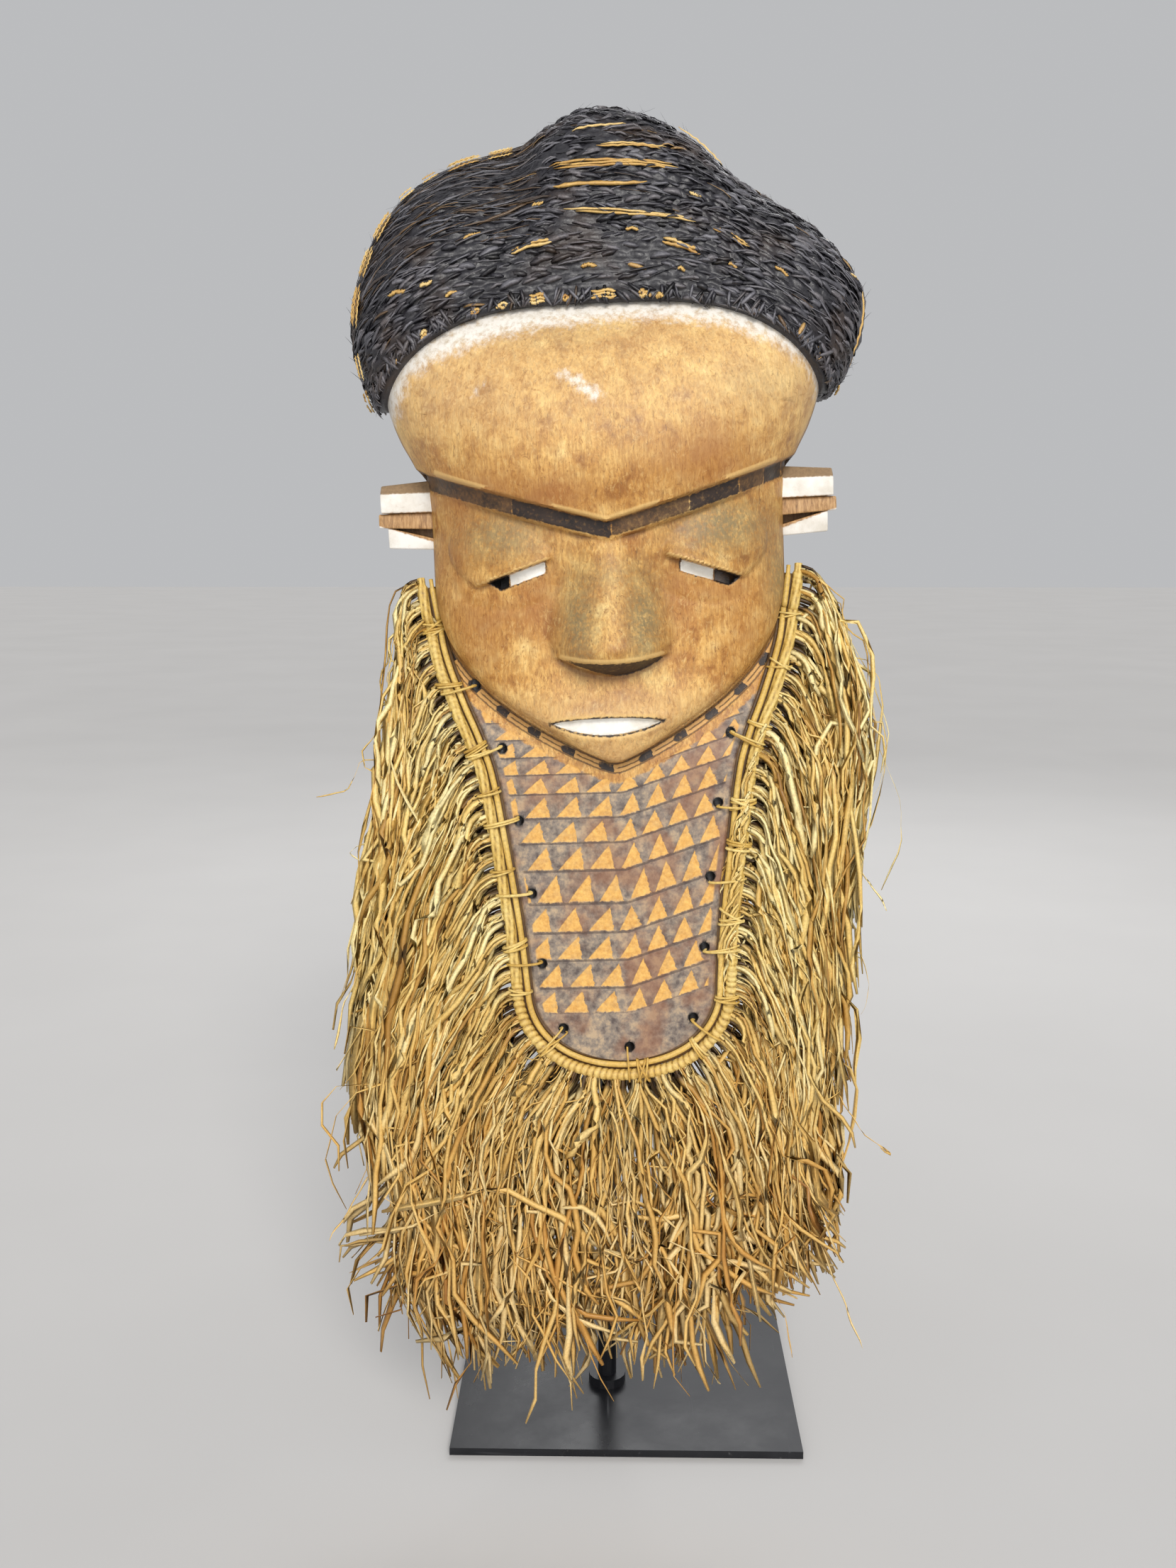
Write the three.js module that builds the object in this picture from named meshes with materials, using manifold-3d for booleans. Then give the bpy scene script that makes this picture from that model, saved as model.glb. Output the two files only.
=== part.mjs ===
// A carved wooden face mask with a long flat beard board, a plaited fibre cap and a raffia beard,
// held up by a steel post on a square steel base plate.
// Millimetres, +Z up, the mask looks along -Y. The origin is the centre of the plate's underside.

import * as THREE from 'three';
import { mergeVertices } from 'three/addons/utils/BufferGeometryUtils.js';
import Module from 'manifold-3d';

const wasm = await Module();
wasm.setup();

// Driving dimensions

// The stand
const PLATE = { side: 180, thickness: 4 };
const POST = { x: -10, y: -26, radius: 5, top: 536 };
const FOOT_COLLAR = { radius: 10, height: 5 };
const ARM_RADIUS = 4;
const CRADLE = { z: 530, width: 96, height: 12, thickness: 3, y: -91 };
const BOARD_REST = { z: 352, width: 34, height: 14, thickness: 3, y: -87.4 };

// The mask hangs slightly rolled: its own frame starts at the tip of the brow's V
const MASK_AT = { x: -10.4, z: 460.7 };
const MASK_ROLL = THREE.MathUtils.degToRad(2.3);

// The face, in stations of [height, half width] or [height, depth] for its middle, its rim and its back
const FACE = { bottom: -103.5, top: 45 };
const FACE_HALF_WIDTH = [[-15, 84], [14, 84.5], [45, 86.5]];
const FACE_MIDDLE = [
  [-103.5, -103.5], [-100, -107.5], [-93, -110.5], [-84, -111.5], [-74, -110],
  [-62, -106.5], [-45, -105], [-20, -104.5], [0, -106.5], [45, -107],
];
const FACE_RIM = [[-103.5, -101.5], [-86, -97], [-72, -89], [-55, -76], [-30, -60], [0, -50], [45, -50]];
const FACE_BACK = [[-103.5, -90.5], [-86, -86], [-72, -78], [-55, -66], [-30, -53], [0, -45], [45, -45]];
const JAW = { middle: -15, halfWidth: 84, drop: 88.5, power: 2.4, chinHalfWidth: 4 };

// The bulging forehead, in the same kinds of station
const FOREHEAD_HALF_WIDTH = [[-6, 80], [20, 85], [36, 90], [50, 97], [65, 102], [85, 105], [116, 104]];
const FOREHEAD_MIDDLE = [
  [-6, -113], [8, -116], [30, -119.5], [45, -118.5], [60, -115],
  [75, -108.5], [90, -99], [104, -86], [116, -72],
];
const FOREHEAD = { bottom: -6, topMiddle: 114, topSide: 72, topPower: 2.2, rimY: -49 };

// Both are rounded sections with a wall of even thickness, open behind
const BACK_PLANE = -45;
const ROUNDNESS = 2.4;
const WOOD = 9;
const CLEAR_FRONT = -140;
const HOLLOW = { bottom: -88, top: 135, blendTop: 45, rimDrop: 6 };

// The brow is a V: a forehead edge over a recessed band
const BROW = { tip: 8.5, slope: 0.262, curve: 0.0005, band: 8, recess: 4.5 };

// A heavy lid over each eye, and the slanting opening under it
const LID = { x: 49, z: -4, length: 27, height: 19, depth: 11.5, y: -94.5, droop: 0.3, turn: 0.42 };
const EYE = {
  inner: 29.5, outer: 60, innerZ: -8.6, slant: -0.33, height: 5.2, taper: 5, holeFrom: 45.5, floorY: -96.5,
};

// The nose, in stations of [height, half width, depth of the ridge]
const NOSE_STATIONS = [
  [-55.5, 24, -121.5], [-50, 25, -128.5], [-38, 24, -122.5], [-22, 20, -116], [-8, 14, -111], [6, 9, -108],
];
const NOSE = { proud: 0.7, back: -95, roundness: 1.8, sideLift: 6.5, liftEnd: -22 };
const MOUTH = { x: -2.5, z: -81.8, halfWidth: 25, rise: 2.2, sag: 5.3, depth: 3.2 };

// An ear is a plate with three blocks before it, each from the head out to its end:
// [low and high at the head, low and high at the end, front, reach from the middle]
const EAR = { root: 79, back: -44 };
const EAR_PLATE = [-1, 31, 1, 29.5, -54, 103.5];
const EAR_BLOCKS = [
  [16.2, 31.5, 16.6, 29.5, -66, 107],
  [8.2, 16.2, 9.8, 16.2, -64.5, 108.5],
  [-1.5, 3, 0, 9.8, -63.5, 104.5],
];

// The beard board: [height, half width] and the depth of its front
const BOARD_HALF_WIDTH = [
  [-206, 43.5], [-177, 46], [-140, 51], [-104, 56.5], [-88, 62], [-72, 69], [-50, 77.5], [-34, 81],
];
const BOARD_FRONT = [
  [-242, -113.5], [-170, -106], [-104, -98], [-88, -93.5], [-72, -86.5], [-50, -75], [-34, -66],
];
const BOARD = {
  top: -34, round: -206, bottom: -241, power: 2.2, thickness: 9.5, ridge: 2.4, ridgeSpan: 50, tipHalfWidth: 6,
};
const LACING = { radius: 2.3, inset: 6.5, pitch: 33, from: -66 };

// Above the board its edge goes on up the side of the face
const SIDE_EDGE_HALF_WIDTH = [[-34, 81], [-15, 84], [0, 84.5]];
const SIDE_EDGE_DEPTH = [[-34, -64], [0, -56]];

// The hoop at the edge of face and board, and the heading that carries the raffia
const CANE = { radius: 1.6, offset: 2.4, lift: 1.2, start: -8 };
const HEADING = { radius: 3.4, offset: 8, lift: 0.2, start: -6 };

// The cap: [angle round from the right, radius of the outline] about its centre
const CAP = {
  x: 5, z: 70, crestY: -14, backY: 62, bottom: -6, leftEnd: 181, rightEnd: -3,
  floor: 60, openTo: 30, shell: 4.5, fit: 0.4,
};
const CAP_EDGE = { middle: 105.5, side: 64, power: 2.9 };
const CAP_OUTLINE = [
  [-3, 106], [5, 116], [18, 129.5], [30, 127.5], [45, 120.5], [58, 118.5],
  [72, 126], [84, 133], [94, 134.5], [102, 130.5], [109, 126.5], [122, 131.5],
  [137, 137.5], [150, 136], [160, 133.5], [172, 125], [181, 114],
];
const LOBE_VALLEYS = [{ angle: 109, depth: 7, width: 9 }, { angle: 55, depth: 4, width: 12 }];

// The raffia: [place along the heading, x, z] of the ragged lower outline
const FRINGE_TIPS = [
  [0, -101, -50], [0.08, -108, -110], [0.16, -118, -172], [0.24, -131, -232], [0.31, -141, -288],
  [0.36, -137, -342], [0.4, -119, -394], [0.44, -92, -409], [0.47, -60, -408], [0.5, -34, -420],
  [0.53, -4, -403], [0.57, 27, -404], [0.61, 56, -396], [0.65, 81, -360], [0.71, 94, -302],
  [0.78, 101, -238], [0.85, 108, -172], [0.92, 113, -106], [1, 106, -42],
];
const FRINGE = {
  start: -10, gap: 4.6, locks: 22, lockDepth: 2.6, ragged: 0.07, lean: 0.35, hang: 1.3,
  sideY: -82, bottomY: -112,
};
const FRINGE_THICKNESS = { head: 5, full: 22, tip: 9, fullAt: 0.6, thinsFrom: 0.55 };

// Materials

const material = (name, color, roughness, metalness = 0) =>
  new THREE.MeshStandardMaterial({ name, color, roughness, metalness });

const WOOD_FINISH = material('carved_wood', 0xb8853f, 0.6);
const FIBRE_FINISH = material('black_fibre', 0x262426, 0.7);
const CANE_FINISH = material('split_cane', 0xc49a58, 0.6);
const RAFFIA_FINISH = material('raffia', 0xc49c54, 0.75);
const STEEL_FINISH = material('black_steel', 0x1b1c1f, 0.45, 0.6);

// Helpers

// A smooth curve through stations [at, value], read at any place
function along(stations, at) {
  const last = stations.length - 1;
  const clamped = Math.min(Math.max(at, stations[0][0]), stations[last][0]);
  let i = 0;
  while (i < last - 1 && clamped > stations[i + 1][0]) i += 1;
  const slope = (k) => {
    const before = stations[Math.max(k - 1, 0)];
    const after = stations[Math.min(k + 1, last)];
    return (after[1] - before[1]) / (after[0] - before[0]);
  };
  const span = stations[i + 1][0] - stations[i][0];
  const t = (clamped - stations[i][0]) / span;
  const t2 = t * t;
  const t3 = t2 * t;
  return stations[i][1] * (2 * t3 - 3 * t2 + 1)
    + stations[i + 1][1] * (3 * t2 - 2 * t3)
    + slope(i) * span * (t3 - 2 * t2 + t)
    + slope(i + 1) * span * (t3 - t2);
}

const signedPower = (value, power) => Math.sign(value) * Math.abs(value) ** power;
const mix = (a, b, t) => a + (b - a) * t;

// Makes a closed three.js geometry a solid that can be cut and joined
function solid(geometry) {
  const bare = geometry.clone();
  bare.deleteAttribute('normal');
  bare.deleteAttribute('uv');
  const merged = mergeVertices(bare.index ? bare : mergeVertices(bare), 1e-4);
  const corners = merged.index.array;
  const kept = [];
  for (let i = 0; i < corners.length; i += 3) {
    const [a, b, c] = [corners[i], corners[i + 1], corners[i + 2]];
    if (a !== b && b !== c && c !== a) kept.push(a, b, c);
  }
  return new wasm.Manifold(new wasm.Mesh({
    numProp: 3,
    vertProperties: new Float32Array(merged.attributes.position.array),
    triVerts: new Uint32Array(kept),
  }));
}

// Turns a solid back into a named mesh
function pieceFrom(name, body, finish) {
  const result = body.getMesh();
  const geometry = new THREE.BufferGeometry();
  geometry.setAttribute('position', new THREE.BufferAttribute(new Float32Array(result.vertProperties), 3));
  geometry.setIndex(new THREE.BufferAttribute(new Uint32Array(result.triVerts), 1));
  const mesh = new THREE.Mesh(geometry, finish);
  mesh.name = name;
  return mesh;
}

const joined = (bodies) => bodies.reduce((sum, body) => sum.add(body));
const without = (body, cutters) => cutters.reduce((rest, cutter) => rest.subtract(cutter), body);

// A box with many faces, each corner moved to place(across, up, deep), all three from 0 to 1
function warpedBox(columns, rows, layers, place) {
  const geometry = new THREE.BoxGeometry(1, 1, 1, columns, rows, layers);
  const position = geometry.attributes.position;
  for (let i = 0; i < position.count; i += 1) {
    const spot = place(position.getX(i) + 0.5, position.getY(i) + 0.5, 0.5 - position.getZ(i));
    position.setXYZ(i, spot[0], spot[1], spot[2]);
  }
  return solid(geometry);
}

// An outline in X and Z, run through from one depth to another
function prism(points, fromY, toY) {
  const shape = new THREE.Shape(points.map(([x, z]) => new THREE.Vector2(x, z)));
  const geometry = new THREE.ExtrudeGeometry(shape, { depth: toY - fromY, bevelEnabled: false });
  geometry.rotateX(Math.PI / 2);
  geometry.translate(0, toY, 0);
  return solid(geometry);
}

function box(minimum, maximum) {
  const size = maximum.map((value, axis) => value - minimum[axis]);
  const geometry = new THREE.BoxGeometry(...size);
  geometry.translate(...minimum.map((value, axis) => value + size[axis] / 2));
  return solid(geometry);
}

function rod(from, to, radius, sides) {
  const start = new THREE.Vector3(...from);
  const end = new THREE.Vector3(...to);
  const geometry = new THREE.CylinderGeometry(radius, radius, start.distanceTo(end), sides);
  const turn = new THREE.Quaternion().setFromUnitVectors(
    new THREE.Vector3(0, 1, 0),
    end.clone().sub(start).normalize(),
  );
  geometry.applyQuaternion(turn);
  geometry.translate(...start.add(end).multiplyScalar(0.5).toArray());
  return solid(geometry);
}

// The carved head

function faceHalfWidth(z) {
  if (z >= JAW.middle) return along(FACE_HALF_WIDTH, z);
  const fall = Math.min((JAW.middle - z) / JAW.drop, 1);
  return Math.max(JAW.halfWidth * (1 - fall ** JAW.power), JAW.chinHalfWidth);
}

// A rounded section at one height: angle 0 is the middle, a quarter turn to each side is the rim
function sectionPoint(angle, z, halfWidth, middleY, rimY) {
  const sharp = 2 / ROUNDNESS;
  return [
    halfWidth * signedPower(Math.sin(angle), sharp),
    mix(rimY, middleY, Math.abs(Math.cos(angle)) ** sharp),
    z,
  ];
}

const quarterTurns = (across) => (across - 0.5) * Math.PI;

// The depth of the face's plain form at a place seen from the front
function faceDepth(x, z) {
  const out = Math.min(Math.abs(x) / faceHalfWidth(z), 1);
  return mix(along(FACE_RIM, z), along(FACE_MIDDLE, z), (1 - out ** ROUNDNESS) ** (1 / ROUNDNESS));
}

function faceBody() {
  return warpedBox(32, 16, 1, (across, up, deep) => {
    const z = mix(FACE.bottom, FACE.top, up ** 0.9);
    const rim = along(FACE_RIM, z);
    const spot = sectionPoint(quarterTurns(across), z, faceHalfWidth(z), along(FACE_MIDDLE, z), rim);
    return deep < 0.5 ? spot : [spot[0], along(FACE_BACK, z), z];
  });
}

// The forehead's rim lies lower at the sides than in the middle
function foreheadTop(angle) {
  return mix(FOREHEAD.topMiddle, FOREHEAD.topSide, Math.abs(Math.sin(angle)) ** FOREHEAD.topPower);
}

// The forehead's outer form, made smaller or larger by a margin
function foreheadBody(margin, columns, rows) {
  return warpedBox(columns, rows, 1, (across, up, deep) => {
    const angle = quarterTurns(across);
    const z = mix(FOREHEAD.bottom, foreheadTop(angle), up);
    const spot = sectionPoint(
      angle,
      z,
      along(FOREHEAD_HALF_WIDTH, z) + margin,
      along(FOREHEAD_MIDDLE, z) - margin,
      FOREHEAD.rimY,
    );
    return deep < 0.5 ? spot : [spot[0], BACK_PLANE, z];
  });
}

const browLine = (x) => BROW.tip + BROW.slope * Math.abs(x) + BROW.curve * x * x;

// Everything above the brow's line, or above a line some way below it
function aboveBrow(drop) {
  const [reach, step, over] = [130, 26, 150];
  const points = [];
  for (let x = -reach; x <= reach; x += step) points.push([x, browLine(x) - drop]);
  points.push([reach, over], [-reach, over]);
  return prism(points, CLEAR_FRONT, 0);
}

// What is hollowed out behind face and forehead, open to the back and the top
function hollowBody() {
  return warpedBox(18, 12, 1, (across, up, deep) => {
    const z = mix(HOLLOW.bottom, HOLLOW.top, up);
    const spread = THREE.MathUtils.smoothstep(z, 0, HOLLOW.blendTop);
    const halfWidth = mix(faceHalfWidth(z - WOOD), along(FOREHEAD_HALF_WIDTH, z), spread) - WOOD;
    const middle = mix(along(FACE_MIDDLE, z), along(FOREHEAD_MIDDLE, z), spread) + WOOD;
    const rim = mix(along(FACE_RIM, z) + WOOD, BACK_PLANE - HOLLOW.rimDrop, spread);
    const spot = sectionPoint(quarterTurns(across), z, halfWidth, middle, Math.min(rim, BACK_PLANE));
    return deep < 0.5 ? spot : [spot[0], 0, z];
  });
}

function noseBody() {
  const last = NOSE_STATIONS.length - 1;
  return warpedBox(10, last, 1, (across, up, deep) => {
    const [z, halfWidth, ridge] = NOSE_STATIONS[Math.round(up * last)];
    const side = 2 * across - 1;
    const bed = faceDepth(halfWidth, z) - NOSE.proud;
    const flank = mix(ridge, bed, Math.abs(side) ** NOSE.roundness);
    const lift = NOSE.sideLift * side * side * Math.max(NOSE.liftEnd - z, 0) / (NOSE.liftEnd - NOSE_STATIONS[0][0]);
    return [side * halfWidth, deep < 0.5 ? flank : NOSE.back, z + lift];
  });
}

// The slanting edge between lid and eye
const eyeEdge = (x) => EYE.innerZ + EYE.slant * (x - EYE.inner);

// A heavy half-closed lid, cut off below along its slanting edge
function lidBody(side) {
  const [from, to, over] = [10, 90, 60];
  const geometry = new THREE.SphereGeometry(1, 16, 10);
  geometry.scale(LID.length, LID.depth, LID.height);
  geometry.rotateZ(side * LID.turn);
  geometry.rotateY(side * LID.droop);
  geometry.translate(side * LID.x, LID.y, LID.z);
  const above = prism([
    [side * from, eyeEdge(from)], [side * to, eyeEdge(to)], [side * to, over], [side * from, over],
  ], CLEAR_FRONT, LID.y + LID.depth);
  return solid(geometry).intersect(above);
}

// The opening under the lid: a shallow socket, pierced through at its outer half
function eyeCutters(side) {
  const strip = (from, to, toY) => prism([
    [side * from, eyeEdge(from)],
    [side * from, eyeEdge(from) - EYE.height],
    [side * (to - EYE.taper), eyeEdge(to - EYE.taper) - EYE.height],
    [side * to, eyeEdge(to)],
  ], CLEAR_FRONT, toY);
  return [strip(EYE.inner, EYE.outer, EYE.floorY), strip(EYE.holeFrom, EYE.outer, BACK_PLANE)];
}

// A lens with a flatter upper edge
function mouthCutter() {
  const steps = 10;
  const lip = (i, swell, power) => {
    const t = i / steps;
    return [MOUTH.x + (2 * t - 1) * MOUTH.halfWidth, MOUTH.z + swell * Math.sin(Math.PI * t) ** power];
  };
  const points = [];
  for (let i = 0; i <= steps; i += 1) points.push(lip(i, MOUTH.rise, 0.5));
  for (let i = steps - 1; i > 0; i -= 1) points.push(lip(i, -MOUTH.sag, 0.8));
  return prism(points, CLEAR_FRONT, along(FACE_MIDDLE, MOUTH.z) + MOUTH.depth);
}

function earBody(side) {
  const block = ([low, high, endLow, endHigh, front, reach]) => prism([
    [side * EAR.root, low],
    [side * reach, endLow],
    [side * reach, endHigh],
    [side * EAR.root, high],
  ], front, EAR.back);
  return joined([EAR_PLATE, ...EAR_BLOCKS].map(block));
}

// The beard board

function boardHalfWidth(z) {
  if (z >= BOARD.round) return along(BOARD_HALF_WIDTH, z);
  const fall = Math.min((BOARD.round - z) / (BOARD.round - BOARD.bottom), 1);
  const width = BOARD_HALF_WIDTH[0][1] * (1 - fall ** BOARD.power) ** (1 / BOARD.power);
  return Math.max(width, BOARD.tipHalfWidth);
}

// The front is two planes that meet in a low ridge down the middle
const boardFront = (x, z) => along(BOARD_FRONT, z) + BOARD.ridge * Math.abs(x) / BOARD.ridgeSpan;

function boardBody() {
  return warpedBox(8, 20, 1, (across, up, deep) => {
    const z = mix(BOARD.bottom, BOARD.top, up ** 1.25);
    const x = (2 * across - 1) * boardHalfWidth(z);
    return [x, deep < 0.5 ? boardFront(x, z) : along(BOARD_FRONT, z) + BOARD.thickness, z];
  });
}

const edgeHalfWidth = (z) => (z > BOARD.top ? along(SIDE_EDGE_HALF_WIDTH, z) : boardHalfWidth(z));
const edgeDepth = (x, z) => (z > BOARD.top ? along(SIDE_EDGE_DEPTH, z) : boardFront(x, z));

// The edge of face and board, from the left ear round the bottom to the right ear
function edgePoints(start) {
  const [sideSteps, roundSteps] = [100, 24];
  const side = [];
  for (let i = 0; i <= sideSteps; i += 1) {
    const z = mix(start, BOARD.round, i / sideSteps);
    side.push([edgeHalfWidth(z), z]);
  }
  const sharp = 2 / BOARD.power;
  for (let i = 1; i <= roundSteps; i += 1) {
    const angle = (i / roundSteps) * Math.PI / 2;
    side.push([
      BOARD_HALF_WIDTH[0][1] * Math.cos(angle) ** sharp,
      BOARD.round - (BOARD.round - BOARD.bottom) * Math.sin(angle) ** sharp,
    ]);
  }
  const left = side.map(([x, z]) => [-x, z]);
  return left.concat(side.slice(0, -1).reverse());
}

// A line that runs beside the edge, at even spacing
function besideEdge(start, offset, lift, count) {
  const curve = new THREE.CatmullRomCurve3(edgePoints(start).map(([x, z]) => new THREE.Vector3(x, 0, z)));
  const even = curve.getSpacedPoints(count);
  return even.map((point, i) => {
    const before = even[Math.max(i - 1, 0)];
    const after = even[Math.min(i + 1, count)];
    const run = after.clone().sub(before).normalize();
    const x = point.x + run.z * offset;
    const z = point.z - run.x * offset;
    return new THREE.Vector3(x, edgeDepth(point.x, point.z) - lift, z);
  });
}

function lacingHoles() {
  const holes = [];
  const inside = besideEdge(LACING.from, -LACING.inset, 0, 240);
  let travelled = LACING.pitch;
  for (let i = 1; i < inside.length; i += 1) {
    travelled += inside[i].distanceTo(inside[i - 1]);
    if (travelled < LACING.pitch) continue;
    travelled = 0;
    const { x, z } = inside[i];
    holes.push(rod([x, CLEAR_FRONT, z], [x, BACK_PLANE, z], LACING.radius, 6));
  }
  return holes;
}

function maskCarving() {
  const forehead = foreheadBody(0, 28, 8).intersect(aboveBrow(0));
  const band = foreheadBody(-BROW.recess, 20, 5).intersect(aboveBrow(BROW.band));
  const head = joined([faceBody(), band, forehead, noseBody(), lidBody(-1), lidBody(1)]);
  const openEyes = without(head, [...eyeCutters(-1), ...eyeCutters(1)]);
  const shell = openEyes.subtract(mouthCutter()).subtract(hollowBody());
  const board = boardBody().subtract(hollowBody());
  const whole = joined([shell, earBody(-1), earBody(1), board]);
  return pieceFrom('mask_carving', without(whole, lacingHoles()), WOOD_FINISH);
}

// The cap

// Where the cap's front edge lies on the forehead, a margin outside the wood
function capEdge(angle, margin) {
  const across = Math.abs(Math.cos(angle));
  const z = mix(CAP_EDGE.middle, CAP_EDGE.side, across ** CAP_EDGE.power);
  const spot = sectionPoint(
    Math.asin(Math.min(across, 1)),
    z,
    along(FOREHEAD_HALF_WIDTH, z) + margin,
    along(FOREHEAD_MIDDLE, z) - margin,
    FOREHEAD.rimY,
  );
  return { x: Math.sign(Math.cos(angle)) * spot[0], y: spot[1], z };
}

// How deep the hollows between the three lobes are at an angle
function valleyDepth(degrees) {
  return LOBE_VALLEYS.reduce((sum, lobe) => {
    const away = (degrees - lobe.angle) / lobe.width;
    return sum + lobe.depth * Math.exp(-away * away);
  }, 0);
}

// The cap's skin: turn -1 is the front edge, 0 the outline seen from the front, 1 the middle of the back
function capPoint(degrees, turn, inset) {
  const angle = THREE.MathUtils.degToRad(degrees);
  const radius = along(CAP_OUTLINE, degrees) - inset;
  const rimZ = CAP.z + CAP.bottom;
  const crestX = CAP.x + radius * Math.cos(angle);
  const crestZ = CAP.z + radius * Math.sin(angle);
  const swing = turn * Math.PI / 2;
  if (turn >= 0) {
    return [
      mix(CAP.x, crestX, Math.cos(swing)),
      mix(CAP.crestY, CAP.backY - inset, Math.sin(swing)),
      mix(rimZ, crestZ, Math.cos(swing)),
    ];
  }
  const edge = capEdge(angle, CAP.shell - inset);
  const dent = valleyDepth(degrees) * Math.sin(-turn * Math.PI);
  return [
    mix(edge.x, crestX, Math.cos(swing)) - Math.cos(angle) * dent,
    mix(CAP.crestY, edge.y, Math.sin(-swing)),
    mix(edge.z, crestZ, Math.cos(swing)) - Math.sin(angle) * dent,
  ];
}

// The skin and all below it, down to a level floor
function capForm(inset, floorZ, columns, rows) {
  return warpedBox(columns, rows, 1, (across, up, deep) => {
    const turn = mix(-1, 1, up);
    const skin = capPoint(mix(CAP.leftEnd, CAP.rightEnd, across), turn, inset);
    if (deep < 0.5) return skin;
    const left = capPoint(CAP.leftEnd, turn, inset);
    const right = capPoint(CAP.rightEnd, turn, inset);
    return [mix(left[0], right[0], (1 - Math.cos(Math.PI * across)) / 2), skin[1], floorZ];
  });
}

function plaitedCap() {
  const outer = capForm(0, CAP.floor, 32, 12);
  const inner = capForm(CAP.shell, CAP.openTo, 20, 9);
  const forehead = foreheadBody(CAP.fit, 28, 8);
  return pieceFrom('plaited_cap', without(outer, [inner, forehead]), FIBRE_FINISH);
}

// The hoop and the heading

function tubeBeside(name, spec, sides, steps, finish) {
  const path = new THREE.CatmullRomCurve3(besideEdge(spec.start, spec.offset, spec.lift, steps));
  const section = new THREE.Shape();
  for (let i = 0; i < sides; i += 1) {
    const angle = (i / sides) * 2 * Math.PI;
    section[i === 0 ? 'moveTo' : 'lineTo'](spec.radius * Math.cos(angle), spec.radius * Math.sin(angle));
  }
  section.closePath();
  const geometry = new THREE.ExtrudeGeometry(section, { steps, extrudePath: path, bevelEnabled: false });
  return pieceFrom(name, solid(geometry), finish);
}

// The raffia

// How thick the curtain of raffia is at a share of the way down
function fringeThickness(down) {
  const { head, full, tip, fullAt, thinsFrom } = FRINGE_THICKNESS;
  const swollen = mix(head, full, Math.sin(Math.min(down / fullAt, 1) * Math.PI / 2));
  return mix(swollen, tip, THREE.MathUtils.smoothstep(down, thinsFrom, 1));
}

// Locks fan out from the heading and then hang
function fringeBody() {
  const columns = FRINGE.locks * 4;
  const head = besideEdge(FRINGE.start, HEADING.offset + FRINGE.gap, 0, columns);
  const tipX = FRINGE_TIPS.map(([at, x]) => [at, x]);
  const tipZ = FRINGE_TIPS.map(([at, , z]) => [at, z]);
  return warpedBox(columns, 5, 1, (across, up, deep) => {
    const down = 1 - up;
    const start = head[Math.round(across * columns)];
    const wave = Math.cos(across * FRINGE.locks * 2 * Math.PI);
    const reach = 1 + wave * FRINGE.ragged;
    const tipY = mix(FRINGE.bottomY, FRINGE.sideY, Math.abs(2 * across - 1) ** 3);
    const outward = mix(down, Math.sin(down * Math.PI / 2), FRINGE.lean);
    const downward = mix(down, down ** FRINGE.hang, FRINGE.lean);
    const x = start.x + (along(tipX, across) - start.x) * reach * outward;
    const z = start.z + (along(tipZ, across) - start.z) * reach * downward;
    const y = mix(start.y, tipY, down);
    const lock = wave * FRINGE.lockDepth * Math.min(down * 3, 1);
    const half = fringeThickness(down) / 2;
    return [x, deep < 0.5 ? y - half - lock : y + half, z];
  });
}

// The stand

// One welded piece: the post with its foot collar, and an arm with a bar behind forehead and board
function standPost() {
  const foot = PLATE.thickness;
  const upright = (top, radius, sides) => rod(
    [POST.x, POST.y, foot],
    [POST.x, POST.y, top],
    radius,
    sides,
  );
  const arm = ({ y, z }) => rod([POST.x, POST.y, z], [POST.x, y + 1, z], ARM_RADIUS, 8);
  const bar = ({ width, height, thickness, y, z }) => box(
    [POST.x - width / 2, y, z - height / 2],
    [POST.x + width / 2, y + thickness, z + height / 2],
  );
  return pieceFrom('stand_post', joined([
    upright(POST.top, POST.radius, 12),
    upright(foot + FOOT_COLLAR.height, FOOT_COLLAR.radius, 16),
    arm(CRADLE),
    bar(CRADLE),
    arm(BOARD_REST),
    bar(BOARD_REST),
  ]), STEEL_FINISH);
}

function basePlate() {
  const plate = new THREE.Mesh(new THREE.BoxGeometry(PLATE.side, PLATE.side, PLATE.thickness), STEEL_FINISH);
  plate.position.z = PLATE.thickness / 2;
  plate.name = 'base_plate';
  return plate;
}

// Assembly

const mask = new THREE.Group();
mask.position.set(MASK_AT.x, 0, MASK_AT.z);
mask.rotation.y = -MASK_ROLL;
mask.add(maskCarving());
mask.add(plaitedCap());
mask.add(tubeBeside('cane_hoop', CANE, 5, 48, CANE_FINISH));
mask.add(tubeBeside('raffia_heading', HEADING, 7, 48, RAFFIA_FINISH));
mask.add(pieceFrom('raffia_fringe', fringeBody(), RAFFIA_FINISH));

const group = new THREE.Group();
group.add(basePlate());
group.add(standPost());
group.add(mask);

export default group;
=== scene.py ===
# A carved wooden face mask with a long flat beard board, a plaited fibre cap and a raffia beard,
# on a steel post and a square steel base plate. Metres, +Z up, the mask looks along -Y.
# The mask's own shapes are worked out in millimetres in its own slightly rolled frame.

import math

import bmesh
import bpy
import numpy as np
from mathutils import Matrix, Vector


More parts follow.
